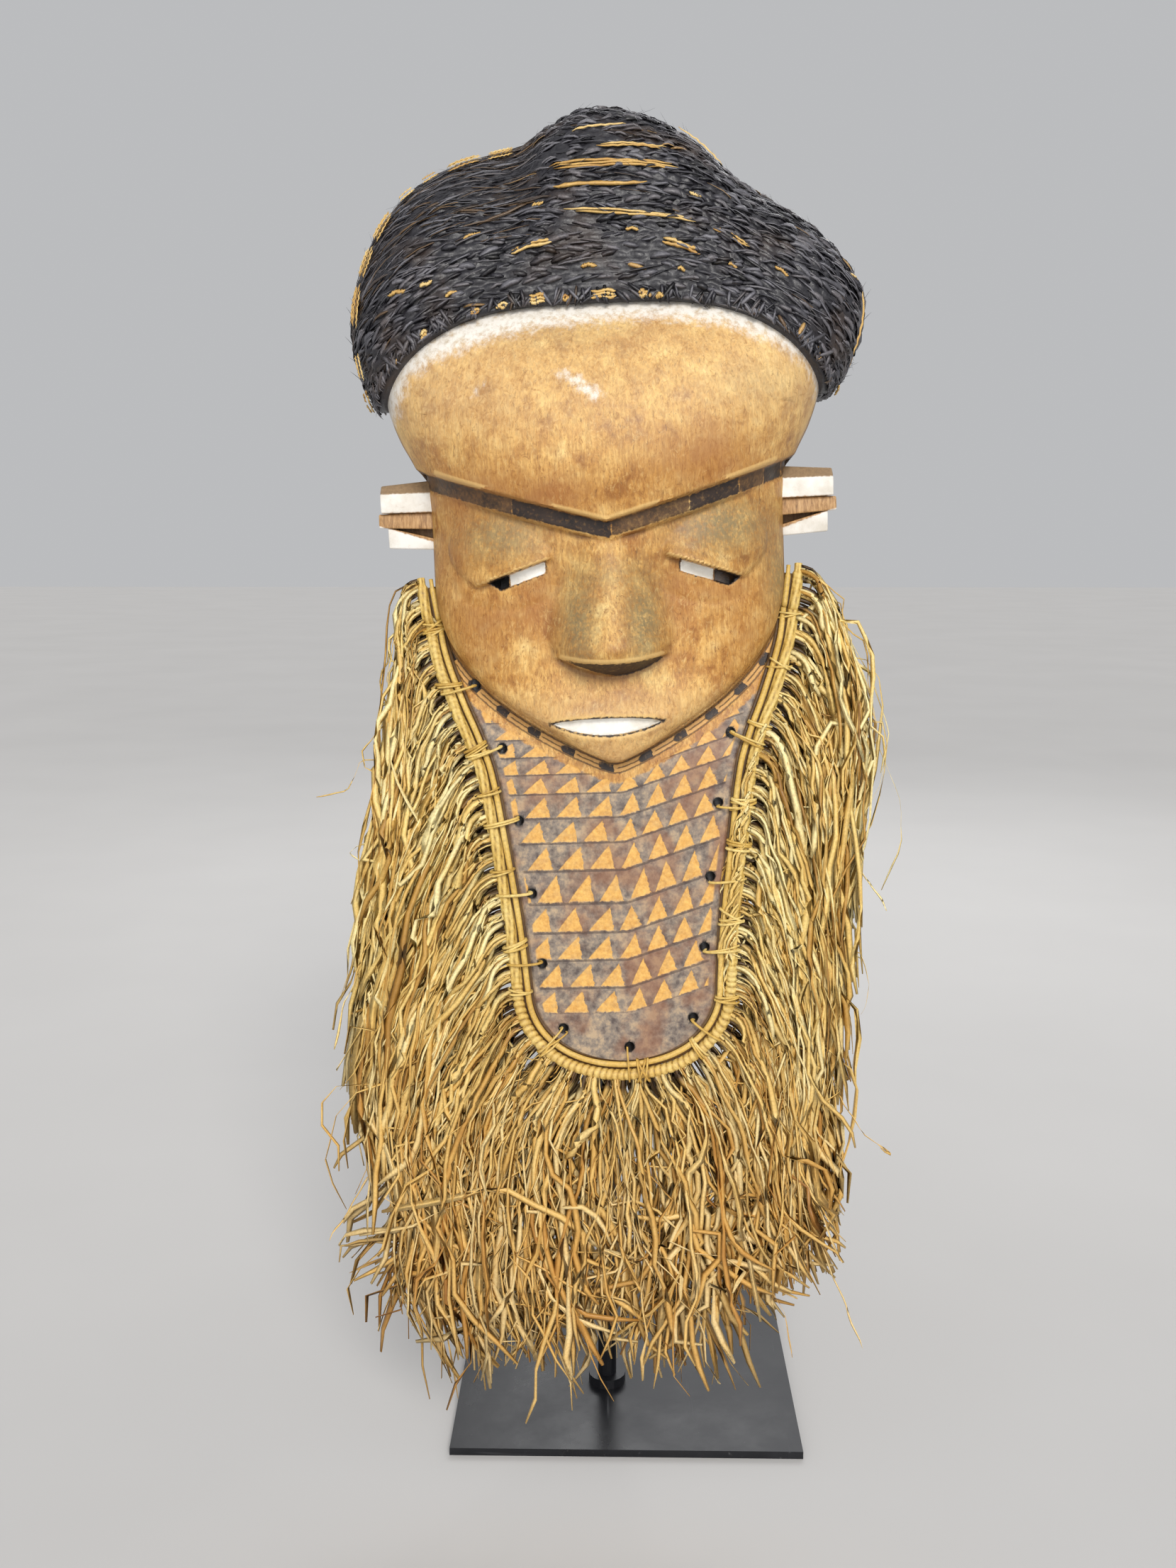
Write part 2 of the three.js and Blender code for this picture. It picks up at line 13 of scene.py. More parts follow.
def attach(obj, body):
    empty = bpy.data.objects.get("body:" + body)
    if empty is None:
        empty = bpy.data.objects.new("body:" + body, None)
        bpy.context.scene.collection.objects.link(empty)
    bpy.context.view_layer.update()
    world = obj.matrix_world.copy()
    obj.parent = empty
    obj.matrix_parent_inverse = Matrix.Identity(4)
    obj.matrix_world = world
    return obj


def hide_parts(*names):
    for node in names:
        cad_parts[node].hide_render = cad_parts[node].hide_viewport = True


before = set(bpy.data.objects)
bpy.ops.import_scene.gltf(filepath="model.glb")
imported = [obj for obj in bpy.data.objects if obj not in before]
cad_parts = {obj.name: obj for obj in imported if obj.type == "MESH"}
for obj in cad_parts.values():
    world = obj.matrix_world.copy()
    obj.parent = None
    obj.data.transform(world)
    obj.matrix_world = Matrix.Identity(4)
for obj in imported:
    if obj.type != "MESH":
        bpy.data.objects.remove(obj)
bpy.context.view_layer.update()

# Driving dimensions: the solids' own, but for eyes, nose rim and where hoop, heading and raffia begin

MASK_AT = (-10.4, 460.7)
MASK_ROLL = math.radians(2.3)
BODY = "root"

FACE_HALF_WIDTH = [[-15, 84], [14, 84.5], [45, 86.5]]
FACE_MIDDLE = [
    [-103.5, -103.5], [-100, -107.5], [-93, -110.5], [-84, -111.5], [-74, -110],
    [-62, -106.5], [-45, -105], [-20, -104.5], [0, -106.5], [45, -107],
]
FACE_RIM = [[-103.5, -101.5], [-86, -97], [-72, -89], [-55, -76], [-30, -60], [0, -50], [45, -50]]
JAW_MIDDLE, JAW_HALF_WIDTH, JAW_DROP, JAW_POWER, CHIN_ROUNDING = -15, 84, 88.5, 2.4, 4

FOREHEAD_HALF_WIDTH = [[-6, 80], [20, 85], [36, 90], [50, 97], [65, 102], [85, 105], [116, 104]]
FOREHEAD_MIDDLE = [
    [-6, -113], [8, -116], [30, -119.5], [45, -118.5], [60, -115],
    [75, -108.5], [90, -99], [104, -86], [116, -72],
]
FOREHEAD_TOP_MIDDLE, FOREHEAD_TOP_SIDE, FOREHEAD_TOP_POWER, FOREHEAD_RIM_Y = 114, 72, 2.2, -49

BACK_PLANE = -45
ROUNDNESS = 2.4
COARSE = 4
WOOD = 9
HOLLOW_BOTTOM, HOLLOW_BLEND_TOP, HOLLOW_RIM_DROP = -88, 45, 6

BROW_TIP, BROW_SLOPE, BROW_CURVE, BROW_BAND, BROW_RECESS = 8.5, 0.262, 0.0005, 8, 4.5

LID_CENTRE = (49, -94.5, -4)
LID_RADII = (27, 11.5, 19)
LID_DROOP, LID_TURN = 0.3, 0.42
EYE_INNER, EYE_OUTER, EYE_INNER_Z, EYE_SLANT, EYE_HEIGHT, EYE_TAPER = 29.5, 60, -8.6, -0.33, 5.2, 5
EYE_HOLE_FROM = 45.5
EYE_SHIFT_LEFT, EYE_SHIFT_RIGHT = (1, 5.5), (-3, 0)
EYE_HOLE_SHIFT = 2.5
HOLE_SLANT, HOLE_FLOOR, HOLE_DEPTH, EYE_FLOOR, CLEAR_FRONT = 0.6, 0.4, 24, -97, -140

NOSE_STATIONS = [
    [-53.5, 25.6, -123.5], [-48, 26, -125], [-38, 24.6, -121.5],
    [-22, 20.5, -116], [-8, 15, -111], [6, 9, -108],
]
NOSE_ROUNDNESS, NOSE_SIDE_LIFT, NOSE_LIFT_END, NOSE_UNDERSIDE = 1.8, 2.4, -22, 7
MOUTH_X, MOUTH_Z, MOUTH_HALF_WIDTH, MOUTH_RISE, MOUTH_SAG, MOUTH_DEPTH = -3.2, -81.8, 24.3, 2.2, 5.3, 3.2

EAR_ROOT, EAR_BACK, EAR_FOOT, EAR_HEAD = 79, -44, -4, 32
EAR_PLATE = [-1, 31, 1, 29.5, -54, -54, 103.5]
EAR_BLOCKS = [
    [25.4, 31.5, 25.4, 29.5, -66, -60.5, 107], [16.2, 25.6, 16.6, 25.6, -66, -66, 107],
    [8.2, 16.3, 9.8, 16.3, -64.5, -63.5, 108.5], [-1.5, 3, 0, 9.9, -62.5, -63.5, 104.5],
]

BOARD_HALF_WIDTH = [
    [-206, 43.5], [-177, 46], [-140, 51], [-104, 56.5], [-88, 62], [-72, 69], [-50, 77.5], [-34, 81],
]
BOARD_FRONT = [
    [-242, -113.5], [-170, -106], [-104, -98], [-88, -93.5], [-72, -86.5], [-50, -75], [-34, -66],
]
BOARD_TOP, BOARD_ROUND, BOARD_BOTTOM, BOARD_POWER, BOARD_THICKNESS = -34, -206, -241, 2.2, 9.5
BOARD_RIDGE = 2.4 / 50
LACING_RADIUS, LACING_INSET, LACING_PITCH, LACING_FROM = 2.3, 6.5, 33, -66

SIDE_EDGE_HALF_WIDTH = [[-34, 81], [-15, 84], [0, 84.5], [14, 84.5], [45, 86.5]]
SIDE_EDGE_DEPTH = [[-34, -64], [0, -56]]

CANE_RADIUS, CANE_OFFSET, CANE_LIFT, CANE_START = 1.6, 2.4, 1.2, -15
HEADING_RADIUS, HEADING_OFFSET, HEADING_LIFT, HEADING_START = 3.2, 8, 0.2, -14
SNUG = 1.3

CAP_X, CAP_Z, CAP_CREST_Y, CAP_BACK_Y, CAP_BOTTOM = 5, 70, -14, 62, -6
CAP_LEFT_END, CAP_RIGHT_END, CAP_SHELL = 181, -3, 4.5
CAP_EDGE_MIDDLE, CAP_EDGE_SIDE, CAP_EDGE_POWER = 105.5, 64, 2.9
CAP_OUTLINE = [
    [-3, 106], [5, 116], [18, 129.5], [30, 127.5], [45, 120.5], [58, 118.5],
    [72, 126], [84, 133], [94, 134.5], [102, 130.5], [109, 126.5], [122, 131.5],
    [137, 137.5], [150, 136], [160, 133.5], [172, 125], [181, 114],
]
LOBE_VALLEYS = [[109, 7, 9], [55, 4, 12]]

FRINGE_START = -13
FRINGE_LEFT = [
    [-407, 116], [-383, 123], [-354, 134], [-326, 132], [-297, 137], [-269, 141], [-215, 134],
    [-196, 128], [-161, 122], [-127, 113], [-93, 107], [-59, 103], [-25, 100],
]
FRINGE_RIGHT = [
    [-367, 92], [-333, 92], [-305, 95], [-277, 98], [-250, 103], [-223, 106], [-187, 106],
    [-155, 108], [-119, 114], [-87, 117], [-66, 115], [-40, 109], [-21, 100],
]
FRINGE_BOTTOM = [
    [-125, -372], [-116, -405], [-102, -406], [-88, -404], [-76, -392], [-65, -388], [-50, -409],
    [-38, -424], [-27, -396], [-5, -396], [11, -402], [38, -406], [46, -380], [61, -364],
    [78, -354], [95, -346],
]
FRINGE_DEPTH = [[-410, -112], [-300, -109], [-240, -104], [-172, -97], [-106, -88], [-42, -74], [0, -64]]

# The camera, in metres and as turns from the horizon and from straight ahead; its focal length is in pixels

CAMERA_AT = (-0.0064, -0.7834, 0.4647)
CAMERA_PITCH, CAMERA_YAW = math.radians(9.59), math.radians(1.07)
SENSOR, FOCAL_LENGTH, PICTURE_HEIGHT = 36, 2108, 2212
FLOOR_REACH = 12

# Curves and small sums

def mix(a, b, t):
    return a + (b - a) * t


def smoothstep(low, high, value):
    t = np.clip((value - low) / (high - low), 0, 1)
    return t * t * (3 - 2 * t)


def along(stations, at):
    """A smooth curve through stations [at, value], read at any place."""
    places, values = np.array(stations, float)[:, :2].T
    count = len(places)
    before = np.maximum(np.arange(count) - 1, 0)
    after = np.minimum(np.arange(count) + 1, count - 1)
    slopes = (values[after] - values[before]) / (places[after] - places[before])
    at = np.clip(at, places[0], places[-1])
    i = np.clip(np.searchsorted(places, at, side="right") - 1, 0, count - 2)
    span = places[i + 1] - places[i]
    t = (at - places[i]) / span
    return (values[i] * (2 * t**3 - 3 * t**2 + 1) + values[i + 1] * (3 * t**2 - 2 * t**3)
            + slopes[i] * span * (t**3 - 2 * t**2 + t) + slopes[i + 1] * span * (t**3 - t**2))


def to_row(points):
    """Millimetres in the mask's own frame to metres in the row frame."""
    points = np.asarray(points, float)
    x, y, z = points[..., 0], points[..., 1], points[..., 2]
    c, s = math.cos(MASK_ROLL), math.sin(MASK_ROLL)
    return np.stack([MASK_AT[0] + x * c - z * s, y, MASK_AT[1] + x * s + z * c], -1) / 1000


def to_mask(points):
    """Metres in the row frame to millimetres in the mask's own frame."""
    x, y, z = np.asarray(points, float).T * 1000
    x, z = x - MASK_AT[0], z - MASK_AT[1]
    c, s = math.cos(MASK_ROLL), math.sin(MASK_ROLL)
    return np.stack([x * c + z * s, y, z * c - x * s], -1)


def resample(points, count):
    """Points at even spacing along a line of points."""
    steps = np.linalg.norm(np.diff(points, axis=0), axis=1)
    run = np.concatenate([[0], np.cumsum(steps)])
    places = np.linspace(0, run[-1], count)
    return np.stack([np.interp(places, run, points[:, k]) for k in range(points.shape[1])], -1), run[-1]


# Meshes

def new_mesh(name, points, face_sets):
    """A mesh from points in metres and arrays of faces, one array for each number of corners."""
    mesh = bpy.data.meshes.new(name)
    sizes = np.concatenate([np.full(len(faces), faces.shape[1]) for faces in face_sets])
    corners = np.concatenate([faces.ravel() for faces in face_sets])
    mesh.vertices.add(len(points))
    mesh.vertices.foreach_set("co", np.ascontiguousarray(points, dtype=np.float32).ravel())
    mesh.loops.add(len(corners))
    mesh.loops.foreach_set("vertex_index", corners.astype(np.int32))
    mesh.polygons.add(len(sizes))
    starts = np.concatenate([[0], np.cumsum(sizes)[:-1]])
    mesh.polygons.foreach_set("loop_start", starts.astype(np.int32))
    mesh.update(calc_edges=True)
    mesh.validate()
    return mesh


def new_object(name, mesh):
    piece = bpy.data.objects.new(name, mesh)
    bpy.context.scene.collection.objects.link(piece)
    return piece


def smooth(mesh, sharp_angle=None):
    mesh.polygons.foreach_set("use_smooth", np.ones(len(mesh.polygons), dtype=bool))
    if sharp_angle:
        mesh.set_sharp_from_angle(angle=math.radians(sharp_angle))


def finish_piece(piece, material, slot, *nodes):
    piece.data.materials.clear()
    piece.data.materials.append(material)
    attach(piece, BODY)
    if nodes:
        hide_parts(*nodes)


def store(mesh, name, values, kind="FLOAT", domain="POINT"):
    """A number or a vector for each vertex or face, for the material to read."""
    field = "vector" if kind == "FLOAT_VECTOR" else "value"
    numbers = np.ascontiguousarray(values, dtype=np.float32).ravel()
    mesh.attributes.new(name, kind, domain).data.foreach_set(field, numbers)


def make_piece(name, points, face_sets, material, slot, nodes=(), **values):
    """A smooth piece from points in the mask's own frame, with the values that its material reads."""
    mesh = new_mesh(name, to_row(points), face_sets)
    for key, numbers in values.items():
        store(mesh, key, numbers)
    smooth(mesh)
    finish_piece(new_object(name, mesh), material, slot, *nodes)


def mesh_points(mesh):
    points = np.empty(len(mesh.vertices) * 3, dtype=np.float32)
    mesh.vertices.foreach_get("co", points)
    return points.reshape(-1, 3).astype(float)


def grid_faces(rows, columns, start=0, flip=False, wrap=False):
    """Quads between rows and columns of points, wrapping round the columns if asked."""
    across = np.arange(columns if wrap else columns - 1)
    r, c = np.meshgrid(np.arange(rows - 1), across, indexing="ij")
    following = (c + 1) % columns
    faces = np.stack([r * columns + c, r * columns + following,
                      (r + 1) * columns + following, (r + 1) * columns + c], -1).reshape(-1, 4) + start
    return faces[:, ::-1] if flip else faces


def shell_faces(rows, columns):
    """A fine front grid, a back grid with fewer rows and columns, and the strip that joins them."""
    back_rows, back_columns = (rows - 1) // COARSE + 1, (columns - 1) // COARSE + 1
    start = rows * columns
    front = np.arange(start).reshape(rows, columns)
    back = start + np.arange(back_rows * back_columns).reshape(back_rows, back_columns)
    strips = []
    for r in range(back_rows - 1):
        fine = front[r * COARSE:(r + 1) * COARSE + 1]
        strips.append([*fine[:, 0], back[r + 1, 0], back[r, 0]])
        strips.append([*fine[::-1, -1], back[r, -1], back[r + 1, -1]])
    for c in range(back_columns - 1):
        fine = front[:, c * COARSE:(c + 1) * COARSE + 1]
        strips.append([*fine[0, ::-1], back[0, c], back[0, c + 1]])
        strips.append([*fine[-1], back[-1, c + 1], back[-1, c]])
    back_faces = grid_faces(back_rows, back_columns, start, flip=True)
    return [grid_faces(rows, columns), back_faces, np.array(strips)]


def tube(path, radius, sides):
    """Points and faces of a closed tube along a path; radius may differ at each point and angle."""
    path, radius = np.asarray(path, float), np.asarray(radius, float)
    count = len(path)
    run = np.gradient(path, axis=0)
    run /= np.linalg.norm(run, axis=1, keepdims=True)
    side = np.cross(run, [0.0, -1.0, 0.0])
    side /= np.maximum(np.linalg.norm(side, axis=1, keepdims=True), 1e-6)
    up = np.cross(side, run)
    angles = np.arange(sides) * 2 * np.pi / sides
    radius = np.broadcast_to(radius[:, None] if radius.ndim == 1 else radius, (count, sides))
    ring = np.cos(angles)[None, :, None] * side[:, None] + np.sin(angles)[None, :, None] * up[:, None]
    points = path[:, None] + ring * radius[..., None]
    points = np.concatenate([points.reshape(-1, 3), path[:1], path[-1:]])
    k, following = np.arange(sides), (np.arange(sides) + 1) % sides
    first_centre, last_ring = count * sides, (count - 1) * sides
    first = np.stack([following, k, np.full(sides, first_centre)], -1)
    last = np.stack([last_ring + k, last_ring + following, np.full(sides, first_centre + 1)], -1)
    return points, [grid_faces(count, sides, wrap=True), np.concatenate([first, last])]


def combined(parts):
    """Points and face sets of several bodies as one list."""
    points, quads, triangles, total = [], [], [], 0
    for body, faces in parts:
        points.append(body)
        for group in faces:
            (quads if group.shape[1] == 4 else triangles).append(group + total)
        total += len(body)
    return np.concatenate(points), [np.concatenate(group) for group in (quads, triangles) if group]


def strands(paths, widths, flatness, facing):
    """Thin closed strands: paths is [strand, point, 3], widths [strand, point]; three-sided and pointed."""
    count, length, _ = paths.shape
    run = np.gradient(paths, axis=1)
    run /= np.maximum(np.linalg.norm(run, axis=2, keepdims=True), 1e-9)
    side = np.cross(run, facing)
    side /= np.maximum(np.linalg.norm(side, axis=2, keepdims=True), 1e-9)
    out = np.cross(side, run)
    wide = widths[..., None] / 2
    thick = wide * flatness
    corners = np.stack([paths + side * wide, paths + out * thick, paths - side * wide], 2)
    points = corners.reshape(-1, 3)
    base = (np.arange(count) * length * 3)[:, None, None]
    k, corner = np.arange(length - 1)[None, :, None], np.arange(3)[None, None, :]
    after = (corner + 1) % 3
    quads = np.stack(np.broadcast_arrays(
        base + k * 3 + corner, base + k * 3 + after,
        base + (k + 1) * 3 + after, base + (k + 1) * 3 + corner), -1).reshape(-1, 4)
    root = (base[:, 0, 0])[:, None] + np.array([0, 2, 1])
    tip = (base[:, 0, 0])[:, None] + (length - 1) * 3 + np.array([0, 1, 2])
    return points, [quads, np.concatenate([root, tip])]


# The carved wood: how far forward each form lies at a place seen from the front

def brow_line(x):
    return BROW_TIP + BROW_SLOPE * np.abs(x) + BROW_CURVE * x * x


def eye_edge(x):
    return EYE_INNER_Z + EYE_SLANT * (np.abs(x) - EYE_INNER)


def face_half_width(z):
    fall = np.clip((JAW_MIDDLE - z) / JAW_DROP, 0, 1)
    below = np.sqrt(np.maximum((JAW_HALF_WIDTH * (1 - fall**JAW_POWER)) ** 2 - CHIN_ROUNDING**2, 0))
    return np.maximum(np.where(z >= JAW_MIDDLE, along(FACE_HALF_WIDTH, z), below), 1)


def section(x, half_width, middle, rim):
    out = np.clip(np.abs(x) / half_width, 0, 1)
    return mix(rim, middle, (1 - out**ROUNDNESS) ** (1 / ROUNDNESS))


def face_front(x, z):
    return section(x, face_half_width(z), along(FACE_MIDDLE, z), along(FACE_RIM, z))


def forehead_front(x, z, margin=0):
    half_width = along(FOREHEAD_HALF_WIDTH, z) + margin
    return section(x, half_width, along(FOREHEAD_MIDDLE, z) - margin, FOREHEAD_RIM_Y)


def board_half_width(z):
    fall = np.clip((BOARD_ROUND - z) / (BOARD_ROUND - BOARD_BOTTOM), 0, 1)
    below = BOARD_HALF_WIDTH[0][1] * (1 - fall**BOARD_POWER) ** (1 / BOARD_POWER)
    return np.maximum(np.where(z >= BOARD_ROUND, along(BOARD_HALF_WIDTH, z), below), 1.5)


def board_front(x, z):
    return along(BOARD_FRONT, z) + BOARD_RIDGE * np.abs(x)


def edge_depth(x, z):
    return np.where(z > BOARD_TOP, along(SIDE_EDGE_DEPTH, z), board_front(x, z))


def outline(z):
    """Half the width of the whole carving at a height."""
    lower = np.where(z > BOARD_TOP, along(SIDE_EDGE_HALF_WIDTH, z), board_half_width(z))
    return mix(lower, along(FOREHEAD_HALF_WIDTH, z), smoothstep(29, 37, z))


def jaw_inside(x, z):
    """Rough distance inside the outline of the jaw."""
    fall = np.maximum((JAW_MIDDLE - z) / JAW_DROP, 0)
    across, down = 1 / JAW_HALF_WIDTH, JAW_POWER * np.minimum(fall, 1.1) ** (JAW_POWER - 1) / JAW_DROP
    return (1 - fall**JAW_POWER - np.hypot(x, CHIN_ROUNDING) * across) / np.hypot(across, down)


def lid_front(x, z):
    """The front of the turned half dome over an eye, far behind where there is none."""
    cx, cy, cz = LID_CENTRE
    radii = np.array(LID_RADII)
    turn, droop = -LID_TURN, -LID_DROOP
    about_z = np.array([[math.cos(turn), math.sin(turn), 0], [-math.sin(turn), math.cos(turn), 0], [0, 0, 1]])
    about_y = np.array([[math.cos(droop), 0, math.sin(droop)], [0, 1, 0],
                        [-math.sin(droop), 0, math.cos(droop)]])
    back = np.linalg.inv(about_y @ about_z)
    start = np.stack([np.abs(x) - cx, np.full_like(x, -cy), z - cz], -1) @ back.T / radii
    step = back[:, 1] / radii
    a, b, c = step @ step, start @ step, (start**2).sum(-1) - 1
    inside = b * b - a * c
    return np.where(inside > 0, (-b - np.sqrt(np.maximum(inside, 0))) / a, 0)


def nose_lift(x):
    """How much higher the nose's lower rim lies away from its middle."""
    return NOSE_SIDE_LIFT * np.clip(np.abs(x) / NOSE_STATIONS[0][1], 0, 1.1) ** 2


def nose_front(x, z):
    """The nose as a swelling of the face, soft at its sides and crisp at its lower rim."""
    heights, half_widths, ridges = np.array(NOSE_STATIONS).T
    bottom = heights[0]
    z = z - nose_lift(x) * np.clip((NOSE_LIFT_END - z) / (NOSE_LIFT_END - bottom), 0, 1)
    half_width, ridge = np.interp(z, heights, half_widths), along(np.stack([heights, ridges], -1), z)
    side = np.abs(x) / half_width
    swell = 1 - side**mix(2.2, NOSE_ROUNDNESS, smoothstep(0, 20, z - bottom))
    soft = mix(0.16, 0.4, smoothstep(1, 12, z - bottom))
    swell = np.where(swell > soft, swell, np.maximum(swell + soft, 0) ** 2 / (4 * soft))
    under = NOSE_UNDERSIDE * np.clip(1 - side**2, 0.12, 1)
    there = np.clip(1 + (z - bottom) / under, 0, 1) ** 0.85 * (1 - smoothstep(5, 12, z))
    face = face_front(x, z)
    return mix(face, np.minimum(ridge, face), swell * there)


def mouth_inside(x, z):
    """Distance inside the lens of the mouth."""
    x = x - MOUTH_X
    t = np.clip((x + MOUTH_HALF_WIDTH) / (2 * MOUTH_HALF_WIDTH), 0, 1)
    swell = np.sin(np.pi * t)
    top, bottom = MOUTH_Z + MOUTH_RISE * swell**0.5, MOUTH_Z - MOUTH_SAG * swell**0.8
    return np.minimum(np.minimum(top - z, z - bottom), (MOUTH_HALF_WIDTH - np.abs(x)) * 0.4)


def eye_inside(x, z):
    """Distance inside the slanting strip of an eye."""
    below = eye_edge(x) - z
    inner_shift = np.where(x < 0, EYE_SHIFT_LEFT[0], EYE_SHIFT_RIGHT[0])
    outer_shift = np.where(x < 0, EYE_SHIFT_LEFT[1], EYE_SHIFT_RIGHT[1])
    ends = np.minimum(np.abs(x) - EYE_INNER + inner_shift, (EYE_OUTER - outer_shift - below - np.abs(x)))
    return np.minimum(np.minimum(below, EYE_HEIGHT - below), ends)


def features_front(x, z):
    """Face, lids, nose, eyes and mouth."""
    face = face_front(x, z)
    lid = lid_front(x, z)
    proud = np.where(lid < 0, np.maximum(face - lid, 0), 0) * mix(0.72, 0.9, smoothstep(-20, 20, x))
    above = z - eye_edge(x)
    proud = mix(proud, proud**2 / (proud + 4.5), smoothstep(0.5, 8, above))
    lidded = face - proud * smoothstep(-1.0, 1.2, above)
    crease = np.hypot((np.abs(x) - 47) / 27, (z + 13) / 16.5) - 1
    under_eye = np.exp(-(crease / 0.09) ** 2) * smoothstep(-12, -20, z) * 0.45
    shaped = lidded + nose_front(x, z) - face
    mouth = mouth_inside(x, z)
    recess = 1.6 * smoothstep(-0.5, 1.3, eye_inside(x, z)) + MOUTH_DEPTH * smoothstep(-0.3, 0.8, mouth)
    lip = 0.5 * np.exp(-((mouth + 2.2) / 1.6) ** 2)
    return shaped + under_eye + recess - lip


def carving_front(x, z):
    """The whole carved front."""
    below = brow_line(x) - z
    face = features_front(x, z)
    jaw = jaw_inside(x, z) + 1.6 * np.clip((z - BOARD_TOP) / 19, 0, 1)
    jaw = np.where(z > JAW_MIDDLE, 9, jaw)
    on_face = mix(edge_depth(x, z), face, smoothstep(-0.2, 1.5, jaw))
    band = np.minimum(forehead_front(x, z, -BROW_RECESS), on_face + 2)
    upper = mix(forehead_front(x, z), band, smoothstep(-0.9, 0.7, below))
    whole = mix(upper, on_face, smoothstep(BROW_BAND - 0.8, BROW_BAND + 1.2, below))
    rounding = 1.3 * (1 - smoothstep(0, 2.2, outline(z) - np.abs(x))) * (z < BOARD_TOP)
    return whole + rounding


def hollow_back(x, z):
    spread = smoothstep(0, HOLLOW_BLEND_TOP, z)
    half_width = mix(face_half_width(z - WOOD), along(FOREHEAD_HALF_WIDTH, z), spread) - WOOD
    middle = mix(along(FACE_MIDDLE, z), along(FOREHEAD_MIDDLE, z), spread) + WOOD
    rim = np.minimum(mix(along(FACE_RIM, z) + WOOD, BACK_PLANE - HOLLOW_RIM_DROP, spread), BACK_PLANE)
    depth = section(x, half_width, middle, rim)
    plane = np.where(z > BOARD_TOP, mix(-56.5, BACK_PLANE, np.clip((z - BOARD_TOP) / -BOARD_TOP, 0, 1)),
                     along(BOARD_FRONT, z) + BOARD_THICKNESS)
    hollow = (np.abs(x) < half_width) & (z > HOLLOW_BOTTOM)
    return np.where(hollow, np.minimum(depth, plane), plane)


def carving_grid(places, rows):
    """Places across the carving at each row: the rows follow the brow's V and the forehead's rim."""
    z = np.repeat(rows[:, None], len(places), 1)
    base = z.copy()
    near_brow = smoothstep(-62, 6, base) * (1 - smoothstep(30, 74, base))
    near_top = np.clip((base - 40) / (FOREHEAD_TOP_MIDDLE - 40), 0, 1)
    for _ in range(5):
        x = places[None] * outline(z)
        out = np.abs(x) / outline(z)
        top = mix(FOREHEAD_TOP_MIDDLE, FOREHEAD_TOP_SIDE, out ** (1.2 * FOREHEAD_TOP_POWER))
        z = base + near_brow * (brow_line(x) - BROW_TIP) * 0.9 + near_top * (top - FOREHEAD_TOP_MIDDLE)
    return places[None] * outline(z), z


def carving_mesh():
    columns, round_rows, other_rows = 225, 32, 288
    across = np.sin(np.linspace(-1, 1, columns) * math.pi / 2)
    foot = np.linspace(0, math.pi / 2, round_rows + 1)[:-1]
    features = [BOARD_ROUND, -100, 22, FOREHEAD_TOP_MIDDLE]
    rows = np.concatenate([BOARD_BOTTOM + (BOARD_ROUND - BOARD_BOTTOM) * (1 - np.cos(foot)),
                           np.interp(np.linspace(0, 1, other_rows + 1), [0, 0.23, 0.76, 1], features)])
    x, z = carving_grid(across, rows)
    front = np.stack([x, carving_front(x, z), z], -1)
    back_z = z[::COARSE, ::COARSE]
    back_columns = back_z.shape[1]
    inner = np.sin(np.linspace(-1, 1, back_columns - 2) * math.pi / 2)
    width = outline(back_z)
    wall = mix(1, WOOD, smoothstep(HOLLOW_BOTTOM - 4, HOLLOW_BOTTOM + 4, back_z))
    back_x = np.concatenate([-width[:, :1], inner[None] * (width - wall)[:, 1:-1], width[:, -1:]], 1)
    back_y = hollow_back(back_x, back_z)
    front_at_back = carving_front(back_x, back_z)
    back_y = np.maximum(back_y, front_at_back + 2.5)
    back = np.stack([back_x, back_y, back_z], -1)
    points = np.concatenate([front.reshape(-1, 3), back.reshape(-1, 3)])
    return new_mesh("mask_wood", to_row(points), shell_faces(len(rows), columns))


def layered_mesh(name, layers, bevel=0):
    """A closed body through outlines of equal length, from front to back, in the mask's own frame."""
    mesh = bpy.data.meshes.new(name)
    shape = bmesh.new()
    rings = [[shape.verts.new(Vector(p)) for p in to_row(np.array(layer, float))] for layer in layers]
    shape.faces.new(rings[0])
    shape.faces.new(rings[-1][::-1])
    for before, after in zip(rings[:-1], rings[1:]):
        for i in range(len(before)):
            j = (i + 1) % len(before)
            shape.faces.new([before[i], after[i], after[j], before[j]])
    bmesh.ops.recalc_face_normals(shape, faces=shape.faces)
    if bevel:
        bmesh.ops.bevel(shape, geom=shape.edges[:], offset=bevel / 1000, segments=3, profile=0.6,
                        affect="EDGES")
    shape.to_mesh(mesh)
    shape.free()
    return mesh


def ear_meshes():
    meshes = []
    for side in (-1, 1):
        for low, high, end_low, end_high, low_front, high_front, reach in [EAR_PLATE] + EAR_BLOCKS:
            root, tip = side * EAR_ROOT, side * reach
            corners = [(root, low), (tip, end_low), (tip, end_high), (root, high)]
            depths = [low_front, low_front, high_front, high_front]
            front = [(x, y, z) for (x, z), y in zip(corners, depths)]
            back = [(x, EAR_BACK, z) for x, z in corners]
            meshes.append(layered_mesh("ear", [front, back], bevel=0.9))
    return meshes


def slanting_hole(name, ring):
    """A hole through the wood that climbs towards the back, so that it looks dark from the front."""
    x, z = np.array(ring).mean(0)
    floor = float(carving_front(np.array([x]), np.array([z]))[0]) + HOLE_FLOOR
    depths = [CLEAR_FRONT, floor, floor + HOLE_DEPTH]
    climbs = [max(y - floor, 0) * HOLE_SLANT for y in depths]
    return layered_mesh(name, [[(px, y, pz + climb) for px, pz in ring] for y, climb in zip(depths, climbs)])


